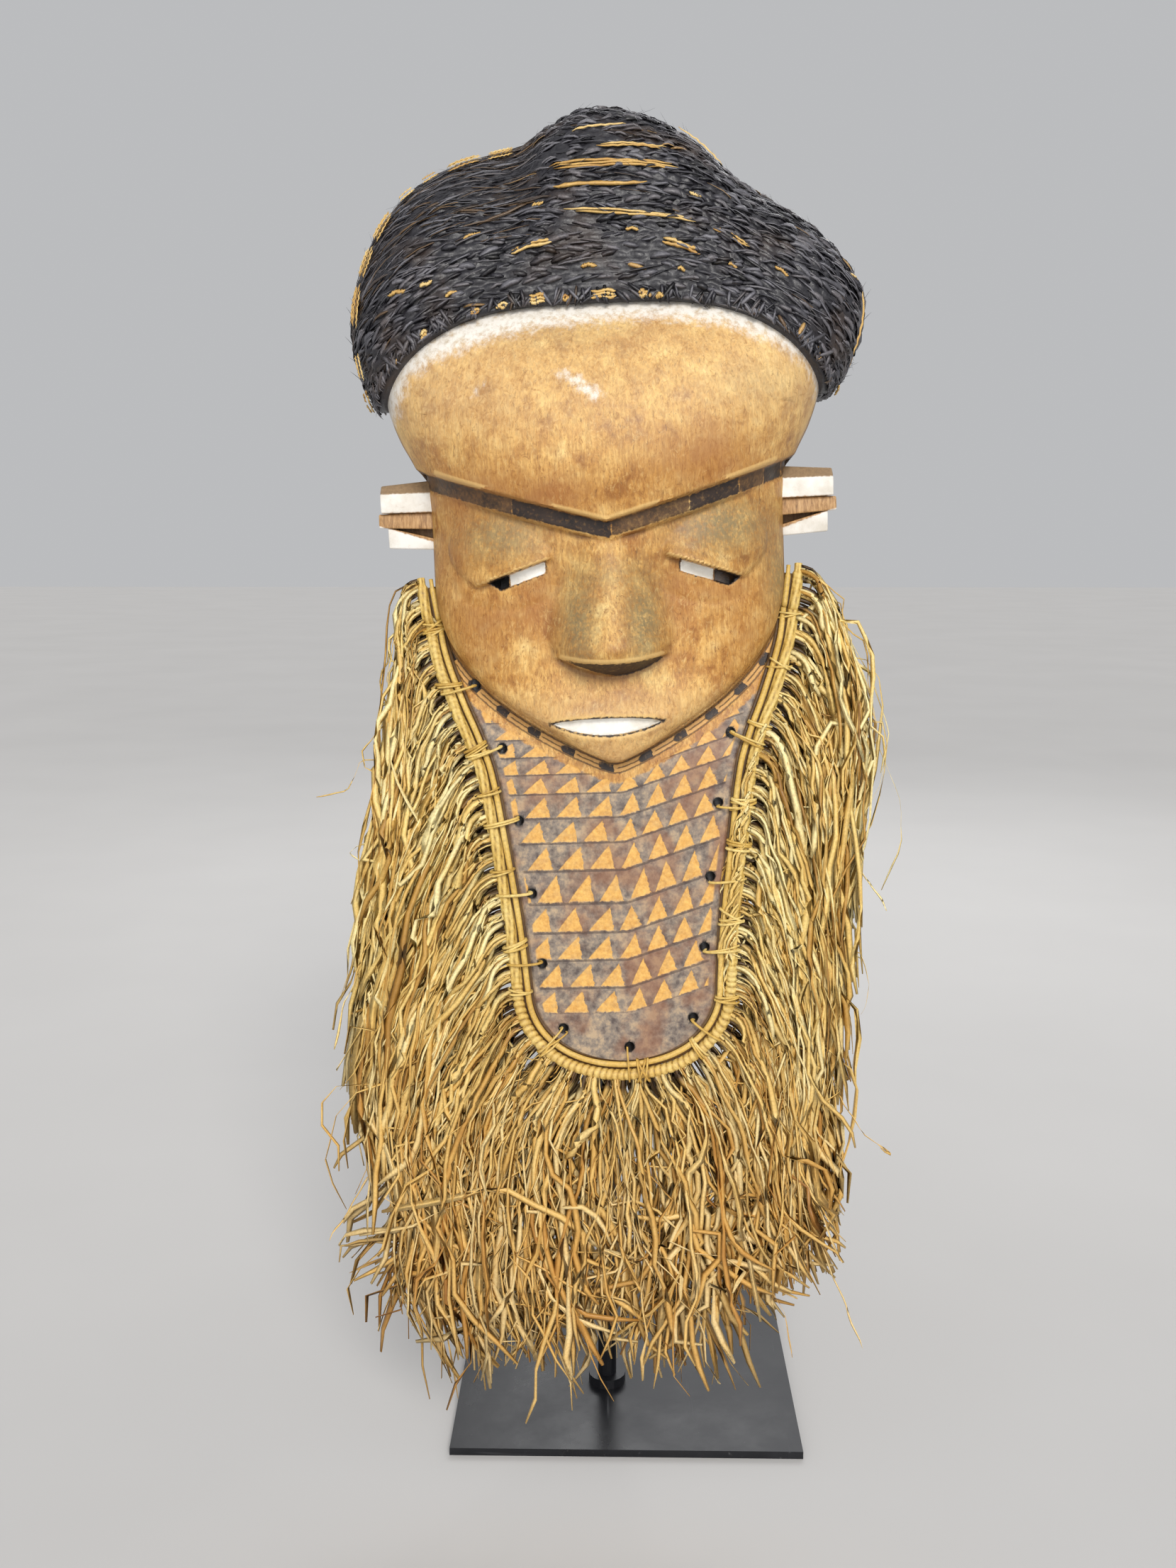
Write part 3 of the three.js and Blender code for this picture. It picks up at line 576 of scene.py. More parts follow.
def cutter_meshes():
    meshes = []
    inset = 0.3
    for side, shifts, start_shift in ((-1, EYE_SHIFT_LEFT, 0), (1, EYE_SHIFT_RIGHT, EYE_HOLE_SHIFT)):
        start, end = EYE_HOLE_FROM + start_shift, EYE_OUTER - shifts[1]
        top = [(start, -inset), (end - 2 * inset, -inset)]
        foot = [(start, inset - EYE_HEIGHT), (end - EYE_TAPER, inset - EYE_HEIGHT)]
        places = [(top[0], start), (foot[0], start), (foot[1], end - EYE_TAPER), (top[1], end)]
        meshes.append(slanting_hole("eye_hole", [(side * x, eye_edge(at) + z) for (x, z), at in places]))
    for x, z in lacing_places():
        ring = [(x + LACING_RADIUS * math.cos(a), z + LACING_RADIUS * math.sin(a))
                for a in np.arange(14) * 2 * math.pi / 14]
        meshes.append(slanting_hole("lacing_hole", ring))
    return meshes


def with_tools(piece, meshes, operation):
    """Joins bodies to a piece or cuts them out of it."""
    tool_shape = bmesh.new()
    for mesh in meshes:
        tool_shape.from_mesh(mesh)
        bpy.data.meshes.remove(mesh)
    tool_mesh = bpy.data.meshes.new("tool")
    tool_shape.to_mesh(tool_mesh)
    tool_shape.free()
    tool = new_object("tool", tool_mesh)
    modifier = piece.modifiers.new("cut", "BOOLEAN")
    modifier.operation, modifier.object, modifier.solver = operation, tool, "MANIFOLD"
    graph = bpy.context.evaluated_depsgraph_get()
    result = bpy.data.meshes.new_from_object(piece.evaluated_get(graph))
    piece.modifiers.clear()
    old = piece.data
    piece.data = result
    bpy.data.meshes.remove(old)
    bpy.data.objects.remove(tool)
    bpy.data.meshes.remove(tool_mesh)


# The edge of face and board

def edge_points(start):
    side_z = np.linspace(start, BOARD_ROUND, 101)
    wide = np.where(side_z > BOARD_TOP, along(SIDE_EDGE_HALF_WIDTH, side_z), board_half_width(side_z))
    angle = np.linspace(0, math.pi / 2, 25)[1:]
    sharp = 2 / BOARD_POWER
    round_x = BOARD_HALF_WIDTH[0][1] * np.maximum(np.cos(angle), 0) ** sharp
    round_z = BOARD_ROUND - (BOARD_ROUND - BOARD_BOTTOM) * np.sin(angle) ** sharp
    right = np.stack([np.concatenate([wide, round_x]), np.concatenate([side_z, round_z])], -1)
    left = right * [-1, 1]
    return np.concatenate([left, right[:-1][::-1]])


def beside_edge(start, offset, lift, count):
    """A line that runs beside the edge, at even spacing, and its outward direction."""
    even, length = resample(edge_points(start), count)
    run = np.gradient(even, axis=0)
    run /= np.linalg.norm(run, axis=1, keepdims=True)
    outward = np.stack([run[:, 1], -run[:, 0]], -1)
    place = even + outward * offset
    depth = edge_depth(even[:, 0], even[:, 1]) - lift
    points = np.stack([place[:, 0], depth, place[:, 1]], -1)
    return points, outward, length


def lacing_places():
    inside, _, _ = beside_edge(LACING_FROM, -LACING_INSET, 0, 241)
    places, travelled = [], LACING_PITCH
    for before, point in zip(inside[:-1], inside[1:]):
        travelled += np.linalg.norm(point - before)
        if travelled >= LACING_PITCH:
            travelled = 0
            places.append((point[0], point[2]))
    return places


# Materials: colours are written as red, green and blue from 0 to 255, as the eye names them

def linear(color):
    """A written colour as the values that a shader takes; any other value as it is."""
    if not isinstance(color, tuple):
        return color
    values = [v / 255 for v in color]
    return [v / 12.92 if v <= 0.04045 else ((v + 0.055) / 1.055) ** 2.4 for v in values] + [1.0]


class Value:
    """An output of a node, to be used in sums."""

    def __init__(self, finish, socket):
        self.finish, self.socket = finish, socket

    def __add__(self, other):
        return self.finish.math("ADD", self, other)

    def __sub__(self, other):
        return self.finish.math("SUBTRACT", self, other)

    def __rsub__(self, other):
        return self.finish.math("SUBTRACT", other, self)

    def __mul__(self, other):
        return self.finish.math("MULTIPLY", self, other)

    def __truediv__(self, other):
        return self.finish.math("DIVIDE", self, other)


class Finish:
    """A material under construction: each call adds a node and gives back its output."""

    def __init__(self, name):
        self.material = bpy.data.materials.new(name)
        self.material.use_nodes = True
        self.tree = self.material.node_tree
        self.surface = self.tree.nodes["Principled BSDF"]
        self.color = None

    def put(self, socket, value):
        if isinstance(value, Value):
            self.tree.links.new(value.socket, socket)
        elif value is not None:
            socket.default_value = value

    def node(self, kind, output, inputs, **settings):
        """A node with its settings, and its inputs by name or number, of which one output is used."""
        node = self.tree.nodes.new("ShaderNode" + kind)
        for name, setting in settings.items():
            setattr(node, name, setting)
        for name, value in inputs.items():
            self.put(node.inputs[name], value)
        return Value(self, node.outputs[output])

    def read(self, name, output="Fac"):
        return self.node("Attribute", output, {}, attribute_name=name)

    def place(self):
        return self.node("TexCoord", "Object", {})

    def math(self, operation, a, b=None, clamp=False):
        return self.node("Math", 0, {0: a, 1: b}, operation=operation, use_clamp=clamp)

    def least(self, a, b):
        return self.math("MINIMUM", a, b)

    def largest(self, a, b):
        return self.math("MAXIMUM", a, b)

    def absolute(self, a):
        return self.math("ABSOLUTE", a)

    def axis(self, vector, index):
        return self.node("SeparateXYZ", index, {0: vector})

    def scaled(self, vector, scale, turn=(0, 0, 0)):
        return self.node("Mapping", 0, {"Vector": vector, "Scale": scale, "Rotation": turn})

    def noise(self, vector, scale, detail=3.0, rough=0.55, distortion=0.0):
        return self.node("TexNoise", "Fac", {"Vector": vector, "Scale": scale, "Detail": detail,
                                             "Roughness": rough, "Distortion": distortion})

    def cells(self, value):
        return self.node("TexWhiteNoise", "Value", {"W": value}, noise_dimensions="1D")

    def rise(self, value, low, high, start=0.0, end=1.0):
        """From start to end as the value goes from low to high."""
        return self.node("MapRange", "Result", {"Value": value, "From Min": low, "From Max": high,
                                                "To Min": start, "To Max": end},
                         interpolation_type="SMOOTHSTEP")

    def blend(self, share, a, b):
        colors = {"Factor": share, "A": linear(a), "B": linear(b)}
        return self.node("Mix", "Result", colors, data_type="RGBA")

    def lay(self, share, color):
        """Lays a colour over the finish's own, by a share from 0 to 1."""
        self.color = self.blend(share, self.color, color)

    def ramp(self, value, stops):
        """Colours along a value; each stop is a place and its red, green and blue."""
        node = self.tree.nodes.new("ShaderNodeValToRGB")
        self.put(node.inputs["Fac"], value)
        ramp = node.color_ramp
        while len(ramp.elements) < len(stops):
            ramp.elements.new(0.5)
        for element, (place, *color) in zip(ramp.elements, stops):
            element.position, element.color = place, linear(tuple(color))
        return Value(self, node.outputs["Color"])

    def bump(self, height, strength, distance):
        return self.node("Bump", "Normal", {"Strength": strength, "Distance": distance, "Height": height})

    def done(self, roughness, normal=None, gloss=0.5):
        values = {"Base Color": self.color, "Roughness": roughness, "Normal": normal,
                  "Specular IOR Level": gloss}
        for name, value in values.items():
            self.put(self.surface.inputs[name], value)
        return self.material


def triangle_rows(f, wobble):
    """The rows of triangles that the board's stain leaves bare, and the dark line under each row."""
    row = f.read("row")
    row_number = f.math("FLOOR", row)
    along_row = f.read("column") + f.cells(row_number) * 0.5 + wobble * 0.16
    cell = f.math("FLOOR", along_row)
    in_cell = along_row - cell
    up = row - row_number + wobble * 0.14
    odd = f.cells(cell * 7.31 + row_number * 3.17)
    peak = f.read("lean") * 0.16 + odd * 0.16
    rising = f.math("POWER", f.largest((in_cell - 0.07) / (0.8 - peak), 0.0), 0.86)
    falling = (0.95 - in_cell) / (peak + 0.08)
    height = f.least(rising, falling) * 0.93
    on_rows = f.rise(f.read("rows"), 0.0, 1.2)
    triangle = f.rise(f.least(height - up, up - 0.09), -0.02, 0.05) * on_rows
    return triangle, f.rise(f.absolute(up - 0.03), 0.025, 0.075, 1, 0) * on_rows


def jaw_line(f, wobble):
    """The incised double line of the jaw with dashes between, and the paler band that it lies on."""
    off_middle = f.absolute(f.read("jaw") + wobble * 0.9 - 2.5)
    lines = f.rise(f.absolute(off_middle - 1.9), 0.12, 0.5, 1, 0)
    dash = f.math("FRACT", f.read("run") / 19 + wobble * 0.12)
    middle_line = f.rise(off_middle, 0.1, 0.45, 0.8, 0) * f.rise(dash, 0.02, 0.12)
    dashes = f.rise(dash - off_middle * 0.05, 0.58, 0.63) * f.rise(off_middle, 1.4, 1.8, 1, 0)
    on_jaw = f.rise(f.read("jaw_reach"), 0, 2)
    border = f.largest(lines * 0.7, f.largest(dashes, middle_line)) * on_jaw
    return border, f.rise(off_middle, 1.2, 1.7, 0.75, 0) * on_jaw


def ear_color(f, spot, grain, cloud, fine):
    """The ears: white blocks, a grey upper bevel and a bare tab between."""
    x, y, z = [f.axis(spot, k) for k in range(3)]
    z_rough = z + (fine - 0.5) * 1.4
    upper = f.least(25.6 - z_rough, z_rough - 16.6)
    lower = (f.absolute(x) - 85) * 0.33 + 3.2 - z_rough
    white = f.least(f.largest(upper, lower), -57.5 - y)
    ear = f.ramp(grain, [(0.3, 122, 90, 56), (0.5, 172, 132, 86), (0.7, 206, 168, 118)])
    ear = f.blend(f.rise(z_rough, 24.6, 26.2, 0, 0.7), ear, (134, 118, 96))
    # Dark paint and painted shade: the ear darker where it lies further back, in its recesses
    ear = f.blend(f.rise(y, -60, -52, 0, 0.6), ear, (84, 58, 38))
    return f.blend(f.rise(white, -0.3, 0.5) * f.rise(fine, 0.25, 0.42, 0.8, 1), ear,
                   f.ramp(cloud, [(0.3, 216, 210, 198), (0.6, 242, 240, 234)]))


def wood_finish():
    f = Finish("carved_wood")
    spot = f.read("spot", "Vector")
    coarse = f.noise(spot, 0.035, 4, 0.6)
    cloud = f.noise(spot, 0.09, 5, 0.6)
    fine = f.noise(spot, 0.55, 4, 0.6)
    grain = f.noise(f.scaled(spot, (1.0, 1.0, 0.16)), 0.75, 5, 0.68, 0.7)
    flecks = f.noise(f.scaled(spot, (1.0, 0.6, 0.26)), 1.1, 4, 0.6, 0.9)
    curls = f.noise(f.scaled(spot, (1.0, 0.8, 0.6)), 0.36, 5, 0.72, 1.6)
    wobble = fine - 0.5

    # Bare golden wood with reddish stains; painted shade in the hollows and painted highlight on the edges
    f.color = f.ramp(cloud, [(0.3, 158, 104, 46), (0.45, 204, 152, 78), (0.58, 228, 182, 106),
                             (0.72, 246, 212, 140)])
    f.lay(f.rise(coarse, 0.5, 0.7, 0, 0.5), (168, 104, 46))
    f.lay(f.rise(curls, 0.5, 0.68, 0, 0.5), (240, 206, 136))
    f.lay(f.rise(curls, 0.3, 0.48, 0.7, 0), (140, 88, 38))
    f.lay(f.rise(grain, 0.4, 0.6, 0.4, 0), (128, 80, 36))
    f.lay(f.rise(flecks, 0.6, 0.68, 0, 0.6), (96, 58, 28))
    f.lay(f.read("ruddy") * f.rise(cloud, 0.3, 0.6, 0.2, 0.9), (152, 94, 44))
    f.lay(f.read("patina") * f.rise(fine, 0.3, 0.6, 0.35, 1), (128, 116, 84))
    # Painted highlight: the upper forehead and the chin lighter
    f.lay(f.read("painted_highlight") * f.rise(curls, 0.3, 0.6, 0.5, 1), (232, 202, 150))
    # Painted shade in hollows and creases, painted highlight on edges and the nose's rim
    f.lay(f.rise(f.read("relief_shade"), 0.15, 2.2, 0, 0.6), (104, 66, 36))
    f.lay(f.rise(f.read("edge"), 0.4, 2.4, 0, 0.6), (232, 194, 126))

    # The board's grey stain, with rows of bare triangles that it leaves
    triangle, base_line = triangle_rows(f, wobble)
    stain = f.ramp(f.noise(spot, 0.22, 5, 0.65),
                   [(0.34, 76, 70, 72), (0.5, 132, 122, 112), (0.64, 180, 158, 130)])
    stain = f.blend(f.rise(coarse, 0.46, 0.66, 0, 0.6), stain, (140, 92, 62))
    f.lay(f.rise(f.read("stain") + wobble * 3, -0.6, 0.6) * 0.95, stain)
    worn = f.rise(f.noise(spot, 0.3, 5, 0.7), 0.3, 0.62, 0.75, 1)
    f.lay(triangle * worn, f.ramp(fine, [(0.3, 204, 148, 70), (0.7, 236, 188, 104)]))
    f.lay(base_line * 0.6, (62, 48, 44))

    # The incised double line of the jaw
    border, band = jaw_line(f, wobble)
    f.lay(band, (214, 166, 98))
    f.lay(border * f.rise(fine, 0.25, 0.45, 0.7, 1), (44, 34, 30))

    # Black and brown paint on the brow and round eyes and mouth; the nose's shadow line is black paint with a
    # painted shadow, and the eyes' pierced ends are painted shade
    f.lay(f.rise(f.read("black_and_shade") + wobble * 2.2, -0.2, 0.5) * f.rise(fine, 0.28, 0.5, 0.78, 1),
          f.ramp(cloud, [(0.35, 36, 30, 29), (0.7, 66, 52, 44)]))
    f.lay(f.rise(f.read("umber") + wobble * 2.2, -0.2, 0.5) * f.rise(fine, 0.3, 0.6, 0.75, 1),
          f.ramp(cloud, [(0.35, 52, 40, 32), (0.65, 100, 74, 50)]))

    # White clay: eyes, mouth, ears, the line under the cap and a few smears
    chalk = f.rise(f.read("chalk") + wobble, -0.1, 0.35)
    f.lay(chalk * f.rise(fine, 0.25, 0.42, 0.86, 1),
          f.ramp(cloud, [(0.3, 214, 208, 196), (0.6, 240, 238, 232)]))
    ragged = f.noise(f.scaled(spot, (1, 1, 0.8)), 0.32, 6, 0.72)
    f.lay(f.rise(f.read("dusting") + (ragged - 0.5) * 17, -4, 5, 0, 0.92),
          f.ramp(ragged, [(0.3, 196, 186, 168), (0.55, 238, 235, 228)]))

    # Unpainted wood inside and behind; the holes' walls painted near black as shade
    raw = f.ramp(grain, [(0.3, 112, 74, 44), (0.5, 150, 104, 62), (0.7, 172, 126, 80)])
    f.lay(f.read("inner"), f.blend(f.rise(coarse, 0.4, 0.65, 0, 0.45), raw, (88, 60, 40)))
    f.lay(f.rise(f.read("ear"), 0.4, 0.6), ear_color(f, spot, grain, cloud, fine))
    # Painted shade: the walls of the holes near black
    f.lay(f.read("hole"), (26, 20, 18))

    height = grain * 0.5 + flecks * 0.6 + fine * 0.35 - border - triangle * 0.7 - base_line * 0.7
    rough = f.math("ADD", f.rise(cloud, 0.3, 0.7, 0.42, 0.6), chalk * 0.25, clamp=True)
    return f.done(rough, f.bump(height, 0.35, 0.0006), 0.4)


def fibre_finish():
    """Black dyed fibre, brown and tan where it is worn; each strand has its own tone."""
    f = Finish("black_fibre")
    place = f.place()
    fine = f.noise(place, 900, 3, 0.6)
    f.color = f.ramp(f.read("tone"), [(0.0, 18, 17, 20), (0.35, 52, 51, 58), (0.6, 122, 121, 128),
                                      (0.72, 74, 62, 54), (0.92, 118, 92, 62), (1.0, 206, 166, 104)])
    f.lay(f.rise(f.noise(place, 30, 4, 0.6), 0.5, 0.72, 0, 0.35), (92, 70, 50))
    f.lay(f.rise(fine, 0.3, 0.7, 0.35, 0), (8, 8, 9))
    return f.done(f.rise(fine, 0.2, 0.8, 0.3, 0.53), f.bump(fine, 0.4, 0.0004), 0.55)


def straw_finish(name, stops, roughness=0.5, fibre_scale=700):
    """Dry straw-coloured strip or strand: each has its own tone, with fine lines and darker spots."""
    f = Finish(name)
    place = f.place()
    tone = f.math("ADD", f.read("tone"), (f.noise(place, 60, 4) - 0.5) * 0.8, clamp=True)
    fine = f.noise(place, fibre_scale, 4, 0.6)
    f.color = f.ramp(tone, stops)
    f.lay(f.rise(fine, 0.32, 0.62, 0.3, 0), stops[0][1:])
    f.lay(f.rise(f.axis(place, 2), 0.1, 0.3, 0.34, 0), (206, 138, 62))
    # Painted shade where a strand's shade value says
    f.lay(f.read("shade"), (58, 36, 18))
    return f.done(f.rise(fine, 0.3, 0.7, roughness - 0.08, roughness + 0.14), f.bump(fine, 0.35, 0.0003))


def steel_finish():
    """Black lacquered steel: satin, dusty, with scratches and pale specks."""
    f = Finish("black_steel")
    place = f.place()
    dust = f.noise(place, 14, 6, 0.65)
    speck = f.noise(place, 260, 4, 0.7)
    scratch = f.noise(f.scaled(place, (1, 0.04, 1), (0, 0, 0.7)), 220, 3, 0.6)
    other = f.noise(f.scaled(place, (0.05, 1, 1), (0, 0, -0.3)), 190, 3, 0.6)
    lines = f.largest(f.rise(scratch, 0.66, 0.74), f.rise(other, 0.68, 0.76))
    f.color = f.ramp(dust, [(0.3, 20, 21, 24), (0.55, 30, 31, 35), (0.8, 48, 49, 53)])
    f.lay(f.rise(speck, 0.66, 0.76, 0, 0.3), (120, 118, 114))
    f.lay(lines * 0.25, (112, 112, 116))
    f.surface.inputs["Metallic"].default_value = 0.35
    return f.done(f.rise(dust, 0.3, 0.7, 0.24, 0.42) + lines * 0.12, f.bump(speck, 0.12, 0.0003))


def floor_finish():
    f = Finish("floor")
    f.color = f.ramp(f.noise(f.place(), 3, 3), [(0.3, 195, 194, 193), (0.7, 199, 198, 197)])
    return f.done(0.75)


# Camera, light and floor

def make_camera():
    camera = bpy.data.objects.new("camera", bpy.data.cameras.new("camera"))
    bpy.context.scene.collection.objects.link(camera)
    camera.data.sensor_fit = "AUTO"
    camera.data.sensor_width = SENSOR
    camera.data.lens = SENSOR * FOCAL_LENGTH / PICTURE_HEIGHT
    camera.data.clip_start, camera.data.clip_end = 0.02, 60
    turn = Matrix.Rotation(CAMERA_YAW, 4, "Z") @ Matrix.Rotation(math.pi / 2 - CAMERA_PITCH, 4, "X")
    camera.matrix_world = Matrix.Translation(CAMERA_AT) @ turn
    bpy.context.scene.camera = camera


def add_lamp(name, kind, place, direction, strength, color, **settings):
    light = bpy.data.lights.new(name, kind)
    light.energy, light.color = strength, color
    for key, setting in settings.items():
        setattr(light, key, setting)
    lamp = bpy.data.objects.new(name, light)
    bpy.context.scene.collection.objects.link(lamp)
    turn = Vector(direction).to_track_quat("-Z", "Y").to_matrix().to_4x4()
    lamp.matrix_world = Matrix.Translation(place) @ turn


def make_stage():
    corners = [[x * FLOOR_REACH, y * FLOOR_REACH, 0.0] for x, y in ((-1, -1), (1, -1), (1, 1), (-1, 1))]
    floor = new_object("floor", new_mesh("floor", np.array(corners), [np.array([[0, 1, 2, 3]])]))
    floor.data.materials.append(floor_finish())
    world = bpy.data.worlds.new("studio")
    world.use_nodes = True
    world.node_tree.nodes["Background"].inputs["Color"].default_value = (0.86, 0.87, 0.89, 1)
    world.node_tree.nodes["Background"].inputs["Strength"].default_value = 0.58
    bpy.context.scene.world = world
    bpy.context.scene.view_settings.view_transform = "Standard"
    middle = (0, 0, 0)
    add_lamp("key", "SUN", middle, (-0.2, 1.0, -0.7), 2.05, (1.0, 0.97, 0.93), angle=math.radians(24))
    add_lamp("fill", "SUN", middle, (0.15, 1.0, -0.1), 1.15, (1.0, 0.98, 0.96), angle=math.radians(50))
    add_lamp("back", "AREA", (0.3, 1.5, 1.4), (-0.3, -1.5, -1.0), 10, (1, 1, 1),
             shape="RECTANGLE", size=1.2, size_y=0.8)


# The carved wood as one piece, with what its material reads at each point

def distance_to_line(x, z, line):
    """How far each place is from a line of points in X and Z."""
    best = np.full(len(x), 1e9)
    for (ax, az), (bx, bz) in zip(line[:-1], line[1:]):
        square = (bx - ax) ** 2 + (bz - az) ** 2
        t = np.clip(((x - ax) * (bx - ax) + (z - az) * (bz - az)) / square, 0, 1)
        best = np.minimum(best, np.hypot(x - mix(ax, bx, t), z - mix(az, bz, t)))
    return best


def spot_sum(x, z, spots):
    """Soft round spots [x, z, radius across, radius up, strength] added up."""
    return sum(s * np.exp(-((x - cx) / rx) ** 2 - ((z - cz) / rz) ** 2) for cx, cz, rx, rz, s in spots)


CHALK_LINE = [(-101, 62), (-99, 67), (-91, 81), (-75, 89), (-52, 97), (-23, 104), (11, 107), (30, 106),
              (59, 100), (84, 88), (99, 76), (105, 62)]
CHALK_WIDTH = [[-101, 5.5], [-60, 6.5], [-30, 8], [5, 9.5], [30, 9], [60, 7], [90, 5], [105, 4.5]]
CHALK_SMEARS = [((-18, 73), (-10, 69), 1.4), ((-9.5, 68), (-2, 63), 1.8), ((-58, 64.5), (-52, 70.5), -0.6)]
RUDDY = [[-62, 24, 28, 12, 0.8], [-22, 20, 24, 9, 0.8], [44, 34, 30, 14, 0.9], [-50, 60, 16, 18, 0.4],
         [-30, -26, 8, 26, 0.6], [30, -22, 7, 22, 0.6], [-70, -10, 9, 20, 0.5], [74, 0, 8, 18, 0.4],
         [-48, -32, 24, 9, 0.45], [50, -24, 20, 7, 0.6],
         [0, -72, 34, 6, 0.4], [-60, -45, 14, 22, 0.5], [62, -45, 14, 22, 0.5], [4, -98, 12, 4, 0.4],
         [8, -225, 14, 20, 0.6], [4, -150, 7, 60, 0.4]]
PATINA = [[-48, 4, 22, 12, 0.75], [52, 5, 24, 13, 0.9], [-14, -36, 9, 20, 0.85], [15, -36, 9, 20, 0.9],
          [0, -14, 16, 8, 0.4], [80, -20, 8, 18, 0.7], [70, 66, 20, 9, 0.35], [-20, 92, 40, 8, 0.3]]
BROW_SOOT = [(-42, 2, 1.0), (37, 60, 1.0), (72, 82, 0.8)]
BROW_UMBER = [(-88, -42), (2, 37), (60, 72), (82, 92)]
TRIANGLE_ROWS = [-219, -207, -194, -181, -167.5, -152, -139, -127.5, -116, -107, -99, -91, -83, -75]
TRIANGLE_PITCH, RIGHT_PITCH, RIGHT_SLOPE, MIDDLE_X = 14.6, 12.2, 0.29, 3
NOWHERE = -9


def at_ears(z):
    return (z > EAR_FOOT) & (z < EAR_HEAD)


def wear(x, z, front, jaw):
    """Painted shade in the hollows and creases and painted highlight on the edges and along the nose's rim,
    from the relief round each place.
    """
    def hollow(radius):
        around = sum(carving_front(np.clip(x + radius * math.cos(a), -outline(z) + 1, outline(z) - 1),
                                   z + radius * math.sin(a)) for a in np.arange(8) * math.pi / 4) / 8
        return front - around

    small, wide = hollow(2.5), hollow(7)
    on_lid = (np.hypot((np.abs(x) - 49) / 32, (z - 2) / 24) < 1) & (z - eye_edge(x) > 1.5)
    # Painted highlight on ridges and edges, and a painted highlight line along the nose's lower rim
    edge = np.maximum(-small * 1.8, 0) * (np.where(on_lid, 0.15, 1.0) * np.where(np.abs(jaw) < 6, 0.1, 1.0))
    above_rim = z - NOSE_STATIONS[0][0] - nose_lift(x) - 0.6
    edge = edge + 3 * np.exp(-(above_rim / 0.75) ** 2) * smoothstep(25, 22, np.abs(x))
    # Painted shade in hollows and creases, and a little painted shade just inside the jaw's edge
    relief_shade = np.maximum(small * 1.1, 0) + np.maximum(wide, 0) * 0.35
    relief_shade = relief_shade * np.where(on_lid, 0.4, 1.0) * np.where(np.abs(jaw - 0.5) < 2.5, 0.35, 1)
    return relief_shade + 0.15 * smoothstep(12, 1, jaw) * (jaw > -0.5) * (z < -12), edge


def holes(x, y, z, behind, eye_hole_from):
    """Whether a place is on the wall of an eye's hole or of a lacing hole."""
    inside = np.minimum(eye_inside(x, z) + 0.6, np.abs(x) - eye_hole_from + 0.4) > 0.6
    for hole_x, hole_z in lacing_places():
        level = float(carving_front(np.array([hole_x]), np.array([hole_z]))[0])
        climb = np.clip(y - level - HOLE_FLOOR, 0, 30) * HOLE_SLANT
        inside |= np.hypot(x - hole_x, z - climb - hole_z) < LACING_RADIUS + 0.3
    climb = np.clip(y - EYE_FLOOR, 0, HOLE_DEPTH) * HOLE_SLANT
    return inside | (eye_inside(x, z - climb) > -0.7) & (np.abs(x) > eye_hole_from - 0.3) & (behind > 0)


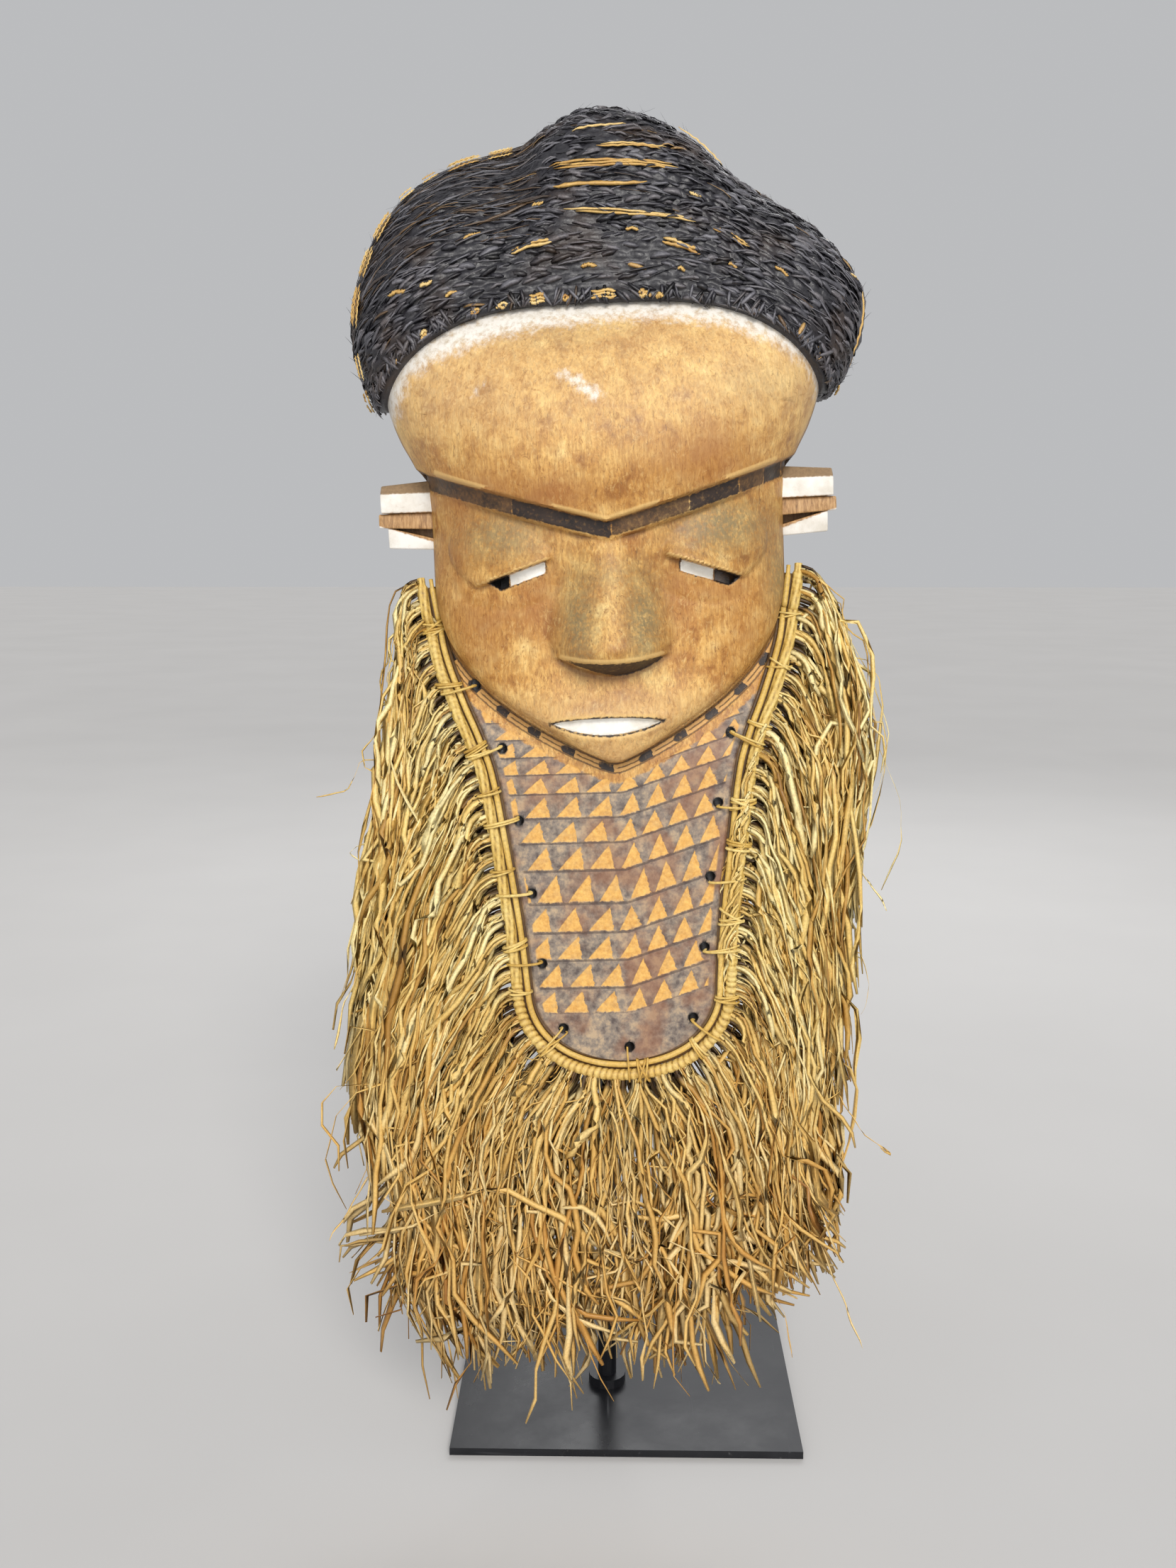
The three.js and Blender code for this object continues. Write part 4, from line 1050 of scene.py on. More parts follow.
def paint_values(points):
    """Everything the wood's material reads, from places in the mask's own frame."""
    x, y, z = points.T
    front = carving_front(x, z)
    behind = np.clip((y - front - 1.2) / 1.2, 0, 1)
    on_ear = at_ears(z) & ((np.abs(x) > outline(z) - 1.5) & (y < -50) | (np.abs(x) > 90))
    jaw = jaw_inside(x, z)
    relief_shade, edge = wear(x, z, front, jaw)
    eye, mouth = eye_inside(x, z), mouth_inside(x, z)
    eye_hole_from = EYE_HOLE_FROM + np.where(x > 0, EYE_HOLE_SHIFT, 0)

    # White clay
    chalk = np.maximum(np.minimum(eye, eye_hole_from - 0.6 - np.abs(x)) + 0.1, mouth + 0.1)
    dusting = along(CHALK_WIDTH, x) - distance_to_line(x, z, CHALK_LINE)
    for start, end, width in CHALK_SMEARS:
        dusting = np.maximum(dusting, (width - distance_to_line(x, z, [start, end])) * 1.6)

    # Black and brown paint, with a painted shadow under the nose and painted shade where the eyes are pierced
    below_brow = brow_line(x) - z
    in_band = np.minimum(below_brow - 0.2, BROW_BAND - 0.6 - below_brow)
    below_rim = NOSE_STATIONS[0][0] + nose_lift(x) - 0.4 - z
    # The crescent under the nose's rim: black paint with a painted shadow
    crescent = NOSE_UNDERSIDE * np.clip(1 - ((x - 2) / 24) ** 2, 0, 1) * mix(0.7, 1, smoothstep(-16, 6, x))
    blacks = [np.minimum(in_band, np.minimum(x - a, b - x)) * s for a, b, s in BROW_SOOT]
    blacks.append(np.minimum(np.minimum(below_rim, crescent - below_rim), 23 - np.abs(x)))
    # The eye strip over its hole: painted shade
    blacks.append(np.minimum(eye + 0.6, np.abs(x) - eye_hole_from + 0.4))
    blacks += [np.minimum(mouth + 1.0, 0.35 - mouth), np.minimum(eye + 0.7, 0.1 - eye)]
    browns = [np.minimum(in_band, np.minimum(x - a, b - x)) for a, b in BROW_UMBER]

    # The board's stain and its rows of triangles, which climb towards the right
    inset = board_half_width(z) - np.abs(x)
    stain = np.where(z < BOARD_TOP, np.minimum(-jaw - 8.4, inset - 0.5), NOWHERE)
    slope = np.where(x > MIDDLE_X, RIGHT_SLOPE * (x - MIDDLE_X), 0)
    rows = [z - slope - TRIANGLE_ROWS[0], TRIANGLE_ROWS[-1] - z + slope, inset - 3.5, -jaw - 7]

    # Painted highlight: the upper forehead, more at its sides, and the chin made lighter
    painted_highlight = 0.42 * smoothstep(24, 70, z) * mix(0.75, 1.1, smoothstep(20, 90, np.abs(x)))
    return {
        "relief_shade": relief_shade * (1 - behind),
        "edge": edge * (1 - behind) * (1 - np.clip(stain, 0, 1)),
        "ruddy": spot_sum(x, z, RUDDY),
        "patina": spot_sum(x, z, PATINA),
        "painted_highlight": painted_highlight + 0.35 * smoothstep(-60, -80, z) * (jaw > 0),
        "row": np.interp(z - slope, TRIANGLE_ROWS, np.arange(len(TRIANGLE_ROWS))),
        "column": (x - MIDDLE_X) / np.where(x > MIDDLE_X, RIGHT_PITCH, TRIANGLE_PITCH) + 20,
        "lean": smoothstep(-4, 4, x),
        "rows": np.minimum.reduce(rows),
        "stain": stain,
        "jaw": -jaw,
        "run": np.arctan2(x, -(z - JAW_MIDDLE)) * 88 + 400,
        "jaw_reach": np.where(z < -44, 4, -40 - z),
        "black_and_shade": np.where(on_ear, NOWHERE, np.maximum.reduce(blacks)),
        "umber": np.where(on_ear, NOWHERE, np.maximum.reduce(browns)),
        "chalk": np.where(on_ear, NOWHERE, chalk),
        "dusting": np.where(z < 38, -20, dusting),
        "inner": np.where(on_ear, 0, behind),
        "hole": holes(x, y, z, behind, eye_hole_from),
    }


def make_mask():
    piece = new_object("mask_wood", carving_mesh())
    for block in ear_meshes():
        with_tools(piece, [block], "UNION")
    with_tools(piece, cutter_meshes(), "DIFFERENCE")
    mesh = piece.data
    local = to_mask(mesh_points(mesh))
    store(mesh, "spot", local, "FLOAT_VECTOR")
    for name, values in paint_values(local).items():
        store(mesh, name, values)
    centres = np.empty(len(mesh.polygons) * 3, dtype=np.float32)
    mesh.polygons.foreach_get("center", centres)
    x, y, z = to_mask(centres.reshape(-1, 3).astype(float)).T
    off_face = (np.abs(x) > outline(z) + 0.2) | (y - carving_front(x, z) > 0.3)
    on_ear = (np.abs(x) > EAR_ROOT) & (y < EAR_BACK + 0.5) & at_ears(z) & off_face
    store(mesh, "ear", on_ear, domain="FACE")
    smooth(mesh, 55)
    finish_piece(piece, wood_finish(), "carved_wood", "mask_carving")


def make_stand():
    steel = steel_finish()
    for node in ("stand_post", "base_plate"):
        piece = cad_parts[node]
        if not piece.material_slots:
            piece.data.materials.append(steel)
        for slot in piece.material_slots:
            slot.material = steel


# The cap: a shell of plaited rows, loose fibres along them and bare strips of the core

def cap_edge(angle, margin):
    across = np.abs(np.cos(angle))
    z = mix(CAP_EDGE_MIDDLE, CAP_EDGE_SIDE, across**CAP_EDGE_POWER)
    sharp = 2 / ROUNDNESS
    x = np.sign(np.cos(angle)) * (along(FOREHEAD_HALF_WIDTH, z) + margin) * across**sharp
    y = mix(FOREHEAD_RIM_Y, along(FOREHEAD_MIDDLE, z) - margin, np.maximum(1 - across**2, 0) ** (sharp / 2))
    return x, y, z


def cap_point(degrees, turn, inset):
    """The skin: turn -1 is the front edge, 0 the outline seen from the front, 1 the foot of the back."""
    angle = np.radians(degrees)
    radius = along(CAP_OUTLINE, degrees) - inset
    crest_x, crest_z = CAP_X + radius * np.cos(angle), CAP_Z + radius * np.sin(angle)
    swing = np.abs(turn) * math.pi / 2
    edge_x, edge_y, edge_z = cap_edge(angle, CAP_SHELL - inset)
    valley = sum(depth * np.exp(-((degrees - middle) / width) ** 2) for middle, depth, width in LOBE_VALLEYS)
    dent = valley * np.sin(np.abs(turn) * math.pi)
    front = np.stack([mix(edge_x, crest_x, np.cos(swing)) - np.cos(angle) * dent,
                      mix(CAP_CREST_Y, edge_y, np.sin(swing)),
                      mix(edge_z, crest_z, np.cos(swing)) - np.sin(angle) * dent], -1)
    back = np.stack([mix(CAP_X, crest_x, np.cos(swing)),
                     mix(CAP_CREST_Y, CAP_BACK_Y - inset, np.sin(swing)),
                     mix(CAP_Z + CAP_BOTTOM, crest_z, np.cos(swing))], -1)
    return np.where((turn < 0)[..., None], front, back)


CAP_PITCH, CAP_PLAIT, PLAIT_SHIFT = 4.4, 8.5, 2.4
CAP_COLUMNS, CAP_FRONT_ROWS, CAP_BACK_ROWS, CAP_BACK_REACH = 221, 156, 104, 0.985
CAP_FIBRES, CAP_ENDS, CAP_STRAYS = 6400, 300, 260
LEFT_LOBE_FROM, LOBE_FACE_FROM = 104, 34
TABLE_STEP = 0.5


def cap_column(degrees):
    """The column of the cap's skin at an angle."""
    return (CAP_LEFT_END - degrees) / (CAP_LEFT_END - CAP_RIGHT_END) * (CAP_COLUMNS - 1)


class CapSurface:
    """The cap's skin, to be read at an angle and a distance from its front edge."""

    def __init__(self):
        turns = np.concatenate([np.linspace(-1, 0, CAP_FRONT_ROWS + 1),
                                np.linspace(0, CAP_BACK_REACH, CAP_BACK_ROWS + 1)[1:]])
        degrees = np.linspace(CAP_LEFT_END, CAP_RIGHT_END, CAP_COLUMNS)
        self.turn = np.repeat(turns[:, None], CAP_COLUMNS, 1)
        self.degrees = np.repeat(degrees[None], len(turns), 0)
        self.points = cap_point(self.degrees, self.turn, 0.5)
        up = np.gradient(self.points, axis=0)
        across = np.gradient(self.points, axis=1)
        normal = np.cross(across, up)
        self.normals = normal / np.maximum(np.linalg.norm(normal, axis=2, keepdims=True), 1e-6)
        steps = np.linalg.norm(np.diff(self.points, axis=0), axis=2)
        self.distance = np.concatenate([np.zeros((1, CAP_COLUMNS)), np.cumsum(steps, axis=0)])
        self.stride = np.linalg.norm(across, axis=2)
        self.run = np.cumsum(self.stride, axis=1)
        table = np.arange(0, self.distance.max() + 1, TABLE_STEP)
        rows = np.arange(len(turns))
        self.row_at = np.stack([np.interp(table, self.distance[:, c], rows) for c in range(CAP_COLUMNS)])

    def ridge(self):
        """Height of the plaited rows over the skin, nothing at its front edge."""
        row = self.distance / CAP_PITCH
        number = np.floor(row)
        cord = np.sqrt(np.maximum(1 - (2 * (row - number) - 1) ** 2, 0))
        plait = 0.65 + 0.35 * np.sin(self.run / CAP_PLAIT * 2 * math.pi + number * PLAIT_SHIFT)
        return (1.8 * cord * plait - 0.9) * np.clip(self.distance / 1.5, 0, 1)

    def read(self, column, distance):
        column = np.clip(column, 0, CAP_COLUMNS - 1.001)
        c, t = column.astype(int), np.clip(distance / TABLE_STEP, 0, self.row_at.shape[1] - 1.001)
        row = self.row_at[c, t.astype(int)]
        row = row + (self.row_at[c, t.astype(int) + 1] - row) * (t - t.astype(int))
        row = np.clip(row, 0, len(self.points) - 1.001)
        r, u, v = row.astype(int), (row - row.astype(int))[..., None], (column - c)[..., None]

        def sample(field):
            low = mix(field[r, c], field[r, c + 1], v)
            return mix(low, mix(field[r + 1, c], field[r + 1, c + 1], v), u)

        return sample(self.points), sample(self.normals)


def make_cap_rows(cap, fibre):
    """The shell of plaited rows, with a plainer and coarser lining."""
    outer = cap.points + cap.normals * cap.ridge()[..., None]
    inner = cap_point(cap.degrees[::COARSE, ::COARSE], cap.turn[::COARSE, ::COARSE], CAP_SHELL)
    points = np.concatenate([outer.reshape(-1, 3), inner.reshape(-1, 3)])
    tone = np.where(np.arange(len(points)) < outer.size // 3, 0.22, 0.5)
    faces = shell_faces(len(outer), CAP_COLUMNS)
    make_piece("cap_rows", points, faces, fibre, "black_fibre", ["plaited_cap"], tone=tone)


def cap_strand_paths(cap, column, distance, length, points, drift, lift):
    """Paths that follow the rows from a place on the cap."""
    t = np.linspace(-0.5, 0.5, points)[None]
    near_row = np.clip((distance / 2).astype(int), 0, cap.stride.shape[0] - 1)
    stride = cap.stride[near_row, column.astype(int)]
    columns = column[:, None] + t * (length / np.maximum(stride, 0.6))[:, None]
    distances = np.clip(distance[:, None] + drift[:, None] * t * length[:, None], 0.3, None)
    places, normals = cap.read(columns, distances)
    arch = (lift[:, None] * (1 - (2 * t) ** 2) - 0.25 * (2 * t) ** 4)[..., None]
    inside = (columns > 0) & (columns < CAP_COLUMNS - 1)
    return places + normals * arch, normals, inside.all(1)


def make_cap_fibres(cap, fibre):
    """Loose fibres along the rows: short ones at the knots of the plait, and long ones anywhere."""
    rng = np.random.default_rng(11)
    count = CAP_FIBRES
    column = rng.uniform(1, CAP_COLUMNS - 2, count)
    whole = column.astype(int)
    longest = cap.distance[-1][whole]
    distance = rng.uniform(0, 1, count) ** 0.85 * longest
    row = np.floor(distance / CAP_PITCH)
    on_left = (cap.degrees[0][whole] > LEFT_LOBE_FROM) & (distance > LOBE_FACE_FROM)
    long_ones = on_left | (rng.random(count) < 0.22)
    at = cap.row_at[whole, ((row + 0.5) * CAP_PITCH / TABLE_STEP).astype(int)].astype(int)
    phase = cap.run[at, whole] / CAP_PLAIT + row * PLAIT_SHIFT / (2 * math.pi) - 0.25
    to_knot = (np.round(phase) - phase) * CAP_PLAIT + rng.normal(0, 0.9, count)
    at_knot = np.clip(column + to_knot / np.maximum(cap.stride[at, whole], 0.6), 1, CAP_COLUMNS - 2)
    column = np.where(long_ones, column, at_knot)
    distance = (row + 0.5 + rng.normal(0, 1, count) * np.where(long_ones, 0.3, 0.2)) * CAP_PITCH
    length = np.where(long_ones, rng.uniform(12, 26, count), rng.uniform(6, 11, count))
    drift = rng.normal(0, 0.1, count) + np.where(row % 2 < 1, 0.2, -0.2)
    lift = rng.uniform(0.3, 1.4, count)
    paths, normals, kept = cap_strand_paths(cap, column, distance, length, 5, drift, lift)
    kept &= distance < longest - 3
    paths, normals, long_ones = paths[kept], normals[kept], long_ones[kept]
    count = len(paths)
    paths = paths + rng.normal(0, 0.12, paths.shape)
    profile = np.where(long_ones[:, None], [0.25, 0.85, 1, 0.85, 0.2], [0.6, 1, 1.05, 1, 0.5])
    thin = np.clip(rng.gamma(4, 0.24, count), 0.4, 1.8)
    width = np.where(long_ones, thin, rng.uniform(1.3, 2.9, count))
    tilt = rng.normal(0, 0.4, (count, 1, 3))
    points, faces = strands(paths, width[:, None] * profile, 0.28, normals + tilt)
    tone = np.clip(rng.normal(0.48, 0.22, count), 0, 0.64)
    on_left = (cap.degrees[0][column.astype(int)] > LEFT_LOBE_FROM) & (distance > LOBE_FACE_FROM)
    worn = on_left[kept] | (long_ones & (rng.random(count) < 0.3))
    tone = np.where(worn, rng.uniform(0.2, 0.92, count), tone)
    bare = rng.random(count) < 0.012
    tone = np.repeat(np.where(bare, rng.uniform(0.93, 1, count), tone), 15)
    make_piece("cap_fibres", points, faces, fibre, "black_fibre", tone=tone)


def unit(vectors):
    return vectors / np.linalg.norm(vectors, axis=1, keepdims=True)


def make_cap_ends(cap, fibre):
    """Short ends that stick out over the front edge, and stray ones that stand off the cap."""
    rng = np.random.default_rng(12)
    column = rng.uniform(0.5, CAP_COLUMNS - 1.6, CAP_ENDS)
    at_corner = np.abs(column / (CAP_COLUMNS - 1) - 0.5) > 0.4
    start = rng.uniform(2, 7, CAP_ENDS)
    beyond = rng.uniform(-0.5, 2.2, CAP_ENDS) * np.where(at_corner, 1.8, 1)
    t = np.linspace(0, 1, 5)
    near, normals = cap.read(column, np.full(CAP_ENDS, 0.4))
    further, _ = cap.read(column, np.full(CAP_ENDS, 3.0))
    out = unit(near - further)
    slant = rng.normal(0, 0.7, (CAP_ENDS, 1)) * np.cross(out, normals)
    reach = (-start[:, None] * (1 - t) + beyond[:, None] * t)[..., None]
    stubs = near[:, None] + (out + slant)[:, None] * reach
    stubs = stubs + normals[:, None] * (0.6 + 0.9 * np.sin(math.pi * t * 0.8))[None, :, None]

    at = rng.uniform(4, CAP_COLUMNS - 6, CAP_STRAYS)
    crest = cap.distance[CAP_FRONT_ROWS][at.astype(int)]
    near_crest = rng.random(CAP_STRAYS) < 0.6
    share = np.where(near_crest, rng.normal(1, 0.1, CAP_STRAYS), rng.random(CAP_STRAYS))
    base, up = cap.read(at, crest * share)
    run = unit(cap.read(at + 3, crest)[0] - cap.read(at - 3, crest)[0])
    run = run * np.where(rng.random((CAP_STRAYS, 1)) < 0.5, 1, -1)
    size = rng.uniform(4, 11, (CAP_STRAYS, 1, 1))
    lift = rng.uniform(0.15, 0.55, (CAP_STRAYS, 1, 1))
    strays = base[:, None] + run[:, None] * size * t[None, :, None]
    strays = strays + up[:, None] * size * lift * (t**1.6)[None, :, None]

    paths = np.concatenate([stubs, strays])
    facing = np.concatenate([normals, up])[:, None]
    widths = np.concatenate([rng.uniform(1.0, 2.4, CAP_ENDS), rng.uniform(0.3, 0.7, CAP_STRAYS)])
    points, faces = strands(paths, widths[:, None] * np.array([0.6, 1, 1, 0.8, 0.25]), 0.4, facing)
    tone = np.clip(rng.normal(0.4, 0.2, len(paths)), 0, 0.85)
    tone[:CAP_ENDS] = np.where(rng.random(CAP_ENDS) < 0.03, 1, tone[:CAP_ENDS])
    make_piece("cap_ends", points, faces, fibre, "black_fibre", tone=np.repeat(tone, 15))


# Bare strips on the cap: from and to in degrees round it, first and last row counted from the front, width
CAP_STRIPS = [
    [97, 84, 20.2, 21.4, 1.8], [91, 77, 17.4, 17.6, 2.6], [102, 74, 15.0, 14.8, 4.4],
    [100, 81, 12.3, 12.3, 2.0], [97, 69, 9.5, 8.2, 2.4], [66, 55, 8.0, 7.2, 2.6],
    [109, 97, 5.8, 6.5, 3.0], [79, 69, 6.1, 4.9, 3.2], [134, 131, 0.5, 0.5, 3.2],
    [118, 115, 0.4, 0.4, 2.4], [111, 108, 0.4, 0.4, 2.6], [103, 99, 0.6, 0.6, 4.4],
    [96, 94.5, 0.5, 0.5, 2.4], [91, 87.5, 0.7, 0.7, 4], [83.5, 81.5, 0.6, 0.6, 3.2],
    [80, 78, 0.4, 0.4, 2.2], [142, 136, 6.7, 5.8, 2.0], [132, 128, 5.2, 5.1, 1.8],
    [26, 20, 14, 17, 2.2], [120, 116, 8.5, 8.8, 1.4], [86, 83, 7.2, 7.1, 1.4], [93, 90, 3.6, 3.6, 1.6],
    [75, 73, 3.2, 3.0, 1.4], [62, 59, 4.4, 4.2, 1.4], [48, 44, 6.0, 5.6, 1.6],
    [104, 101, 10.6, 10.7, 1.6], [72, 68, 11.6, 11.4, 1.8], [125, 121, 3.0, 3.1, 1.6],
]
# The same on the crest: from and to in degrees, how far behind it in millimetres, width
CREST_STRIPS = [
    [178, 174, 1, 5], [172, 168, 1, 5], [165, 161, 1, 5], [158, 151, 1, 7.5], [150, 144, 1, 8],
    [143, 137, 1, 7.5], [135, 131, 2, 5], [129.5, 126, 2, 5], [124, 117, 1, 7.5], [116, 110, 1, 8],
    [75, 62, 2, 2], [22, 14, 1, 2], [6, 1, 1, 3],
]
FACING_FRONT = -0.42
BARE_TONES = [(0.0, 132, 90, 40), (0.3, 186, 140, 72), (0.6, 218, 180, 106), (1.0, 240, 214, 150)]


def make_cap_strips(cap):
    """Bare strips: each is made of a few plies side by side, rolled where they wrap the crest."""
    rng = np.random.default_rng(13)
    points, paths, normals, widths = 14, [], [], []
    turning = np.argmax(cap.normals[20:, :, 1] > FACING_FRONT, axis=0) + 20
    rim = np.pad(cap.distance[turning, np.arange(CAP_COLUMNS)], 3, mode="edge")
    rim = np.convolve(rim, np.ones(7) / 7, "valid")
    strips = [(a, b, first * CAP_PITCH, last * CAP_PITCH, w, False) for a, b, first, last, w in CAP_STRIPS]
    for a, b, behind, w in CREST_STRIPS:
        first, last = [rim[int(cap_column(degrees))] + behind for degrees in (a, b)]
        strips.append((a, b, first, last, w, True))
    for a, b, first, last, w, on_crest in strips:
        plies = max(int(round(w / 1.5)), 1)
        for ply in range(plies):
            off = (ply - (plies - 1) / 2) * w / plies
            inset = rng.uniform(0, 0.12, 2)
            t = np.linspace(inset[0], 1 - inset[1], points)
            distance = mix(first, last, t) + off + 0.35 * np.sin(t * 9 + rng.uniform(0, 6))
            place, normal = cap.read(cap_column(mix(a, b, t)), np.maximum(distance, 0.4))
            roll = 0.6 if first < 5 else 0
            if on_crest:
                roll = 2.8 * math.sin(math.pi * (ply + 0.6) / plies)
            paths.append(place + normal * (0.85 + roll + 0.25 * np.sin(t * 40 + ply))[:, None])
            normals.append(normal)
            profile = np.interp(np.linspace(0, 1, points), [0, 0.12, 0.85, 1], [0.3, 1, 1, 0.2])
            widths.append(w / plies * 1.25 * profile * rng.uniform(0.75, 1.1, points))
    body, faces = strands(np.array(paths), np.array(widths), 0.45, np.array(normals))
    tone = np.repeat(rng.uniform(0.4, 0.85, len(paths)), points * 3)
    tan = straw_finish("bare_strip", BARE_TONES)
    make_piece("cap_strips", body, faces, tan, "black_fibre", tone=tone, shade=np.zeros(len(body)))


def make_cap():
    cap = CapSurface()
    fibre = fibre_finish()
    make_cap_rows(cap, fibre)
    make_cap_fibres(cap, fibre)
    make_cap_ends(cap, fibre)
    make_cap_strips(cap)


# The hoop, the heading and the ties

def wavy(count, seed, amount, waves):
    """A slow random wander of a given size."""
    rng = np.random.default_rng(seed)
    t = np.linspace(0, 1, count)
    total = sum(rng.normal(0, 1) * np.sin(2 * math.pi * (k * t + rng.random())) / math.sqrt(k)
                for k in range(1, waves))
    return amount * total / math.sqrt(waves)


def rounded_ends(count, steps):
    """A factor that narrows a tube at its two ends."""
    place = np.arange(count)
    return np.clip(np.minimum(place, count - 1 - place) / steps, 0.7, 1)[:, None]


def make_cane(material):
    """The hoop of split cane, and dark tubes behind it that stand for the shade in the gaps between it, the
    wood and the heading.
    """
    count, sides = 620, 10
    path, outward, _ = beside_edge(CANE_START, CANE_OFFSET - 0.6 * SNUG, CANE_LIFT, count)
    path[:, ::2] += outward * wavy(count, 3, 0.35, 14)[:, None]
    angles = np.arange(sides) * 2 * math.pi / sides
    knots = 1 + 0.07 * wavy(count, 5, 1, 40)[:, None] + 0.06 * np.cos(2 * angles)[None]
    parts = [tube(path, 0.82 * CANE_RADIUS * rounded_ends(count, 6) * knots, sides)]
    # Dark tubes behind the gaps: painted shade
    for offset in (0.0, 3.4):
        shadow_tube, _, _ = beside_edge(CANE_START - 4, offset, -1.8, count)
        parts.append(tube(shadow_tube, np.full(count, 1.5), 6))
    points, faces = combined(parts)
    in_shadow_tube = np.arange(len(points)) >= len(parts[0][0])
    make_piece("cane", points, faces, material, "split_cane", ["cane_hoop"],
               tone=np.where(in_shadow_tube, 0.1, 0.62), shade=np.where(in_shadow_tube, 0.75, 0.0))


def make_heading(material):
    """The bound heading: grooves run along it in places, and round it where it is wrapped."""
    count, sides = 960, 22
    path, outward, length = beside_edge(HEADING_START, HEADING_OFFSET - SNUG, HEADING_LIFT, count)
    path[:, ::2] += outward * wavy(count, 8, 0.6, 30)[:, None]
    angles = (np.arange(sides) * 2 * math.pi / sides)[None]
    run = np.linspace(0, length, count)[:, None]
    binding = wavy(count, 9, 1, 20) + 1.4 * smoothstep(-190, -225, path[:, 2]) - 0.2
    wrapped = smoothstep(-0.3, 0.4, binding)[:, None]
    lengthwise = 0.5 * np.abs(np.sin(3.0 * angles + run * 0.16)) ** 0.6
    turns = 0.42 * np.abs(np.sin(run * math.pi / 2.6 + 1.2 * np.sin(angles))) ** 0.6
    swell = 0.4 * wavy(count, 10, 1, 60)[:, None]
    radius = rounded_ends(count, 8) * (HEADING_RADIUS - 0.85 + swell + mix(lengthwise, turns, wrapped))
    points, faces = tube(path, radius, sides)
    # Painted light: the heading lighter on its ridges, with painted shade in the troughs between them
    grooves = mix(lengthwise / 0.5, turns / 0.42, wrapped).ravel()
    make_piece("heading", points, faces, material, "raffia", ["raffia_heading"],
               tone=np.concatenate([0.35 + 0.45 * grooves, [0.5, 0.5]]),
               shade=np.concatenate([0.75 * (1 - grooves) ** 2, [0, 0]]))


def make_ties(material):
    """A tie at each lacing hole, and more round cane and heading between them."""
    rng = np.random.default_rng(21)
    places, between_holes = 700, 17
    middle, outward, _ = beside_edge(HEADING_START, HEADING_OFFSET / 2 - 0.4, 0.6, places)
    spots = [(int(np.argmin(np.hypot(middle[:, 0] - x, middle[:, 2] - z))), True) for x, z in lacing_places()]
    others = np.linspace(26, places - 26, between_holes) + rng.uniform(-9, 9, between_holes)
    spots += [(int(k), False) for k in others]
    outer = HEADING_OFFSET - SNUG + HEADING_RADIUS
    angle = np.linspace(0, 2 * math.pi, 26)
    parts, tones = [], []
    for at, through in spots:
        centre, out = middle[at], np.array([outward[at, 0], 0, outward[at, 1]])
        run = np.array([-out[2], 0, out[0]])
        reach, shift, turns = 5.4, 1.6, (2, 6)
        if through:
            reach, turns = (LACING_INSET + outer) / 2, (1, 3)
            shift = (outer - LACING_INSET) / 2 - HEADING_OFFSET / 2 + 0.4
        for turn in range(rng.integers(*turns)):
            slant = rng.normal(0, 1.4)
            depth = 3.7 + rng.uniform(0, 0.5)
            loop = (centre + out * shift + np.cos(angle)[:, None] * out * (reach + rng.uniform(0, 0.4))
                    + np.sin(angle)[:, None] * np.array([0, depth, 0])
                    + run * ((turn - 1) * 1.15 + np.cos(angle) * slant)[:, None])
            parts.append(tube(loop, rng.uniform(0.42, 0.75), 6))
            tones.append(np.full(len(parts[-1][0]), rng.uniform(0.45, 0.95)))
    points, faces = combined(parts)
    make_piece("ties", points, faces, material, "raffia",
               tone=np.concatenate(tones), shade=np.zeros(len(points)))


STRAW_TONES = [(0.0, 104, 72, 26), (0.3, 178, 138, 60), (0.6, 216, 180, 92), (1.0, 242, 218, 142)]


def make_hoop():
    bound = straw_finish("raffia_bound", STRAW_TONES, 0.55)
    make_cane(straw_finish("split_cane", STRAW_TONES))
    make_heading(bound)
    make_ties(bound)


# The raffia: loose strands in bundles that leave the heading and then hang

def curtain_reach(side, z):
    """How far out the curtain of raffia hangs at a height, on either side."""
    return np.where(side < 0, along(FRINGE_LEFT, z), along(FRINGE_RIGHT, z))


# Places along a strand, from its root to its tip
STRAND_PLACES = np.array([0, 0.02, 0.045, 0.075, 0.12, 0.18, 0.26, 0.34,
                          0.42, 0.5, 0.58, 0.67, 0.76, 0.84, 0.92, 1])
BUNDLES, STRAYING, OVER_BOARD, LOW_ON_CURTAIN = 56, 90, 34, -340


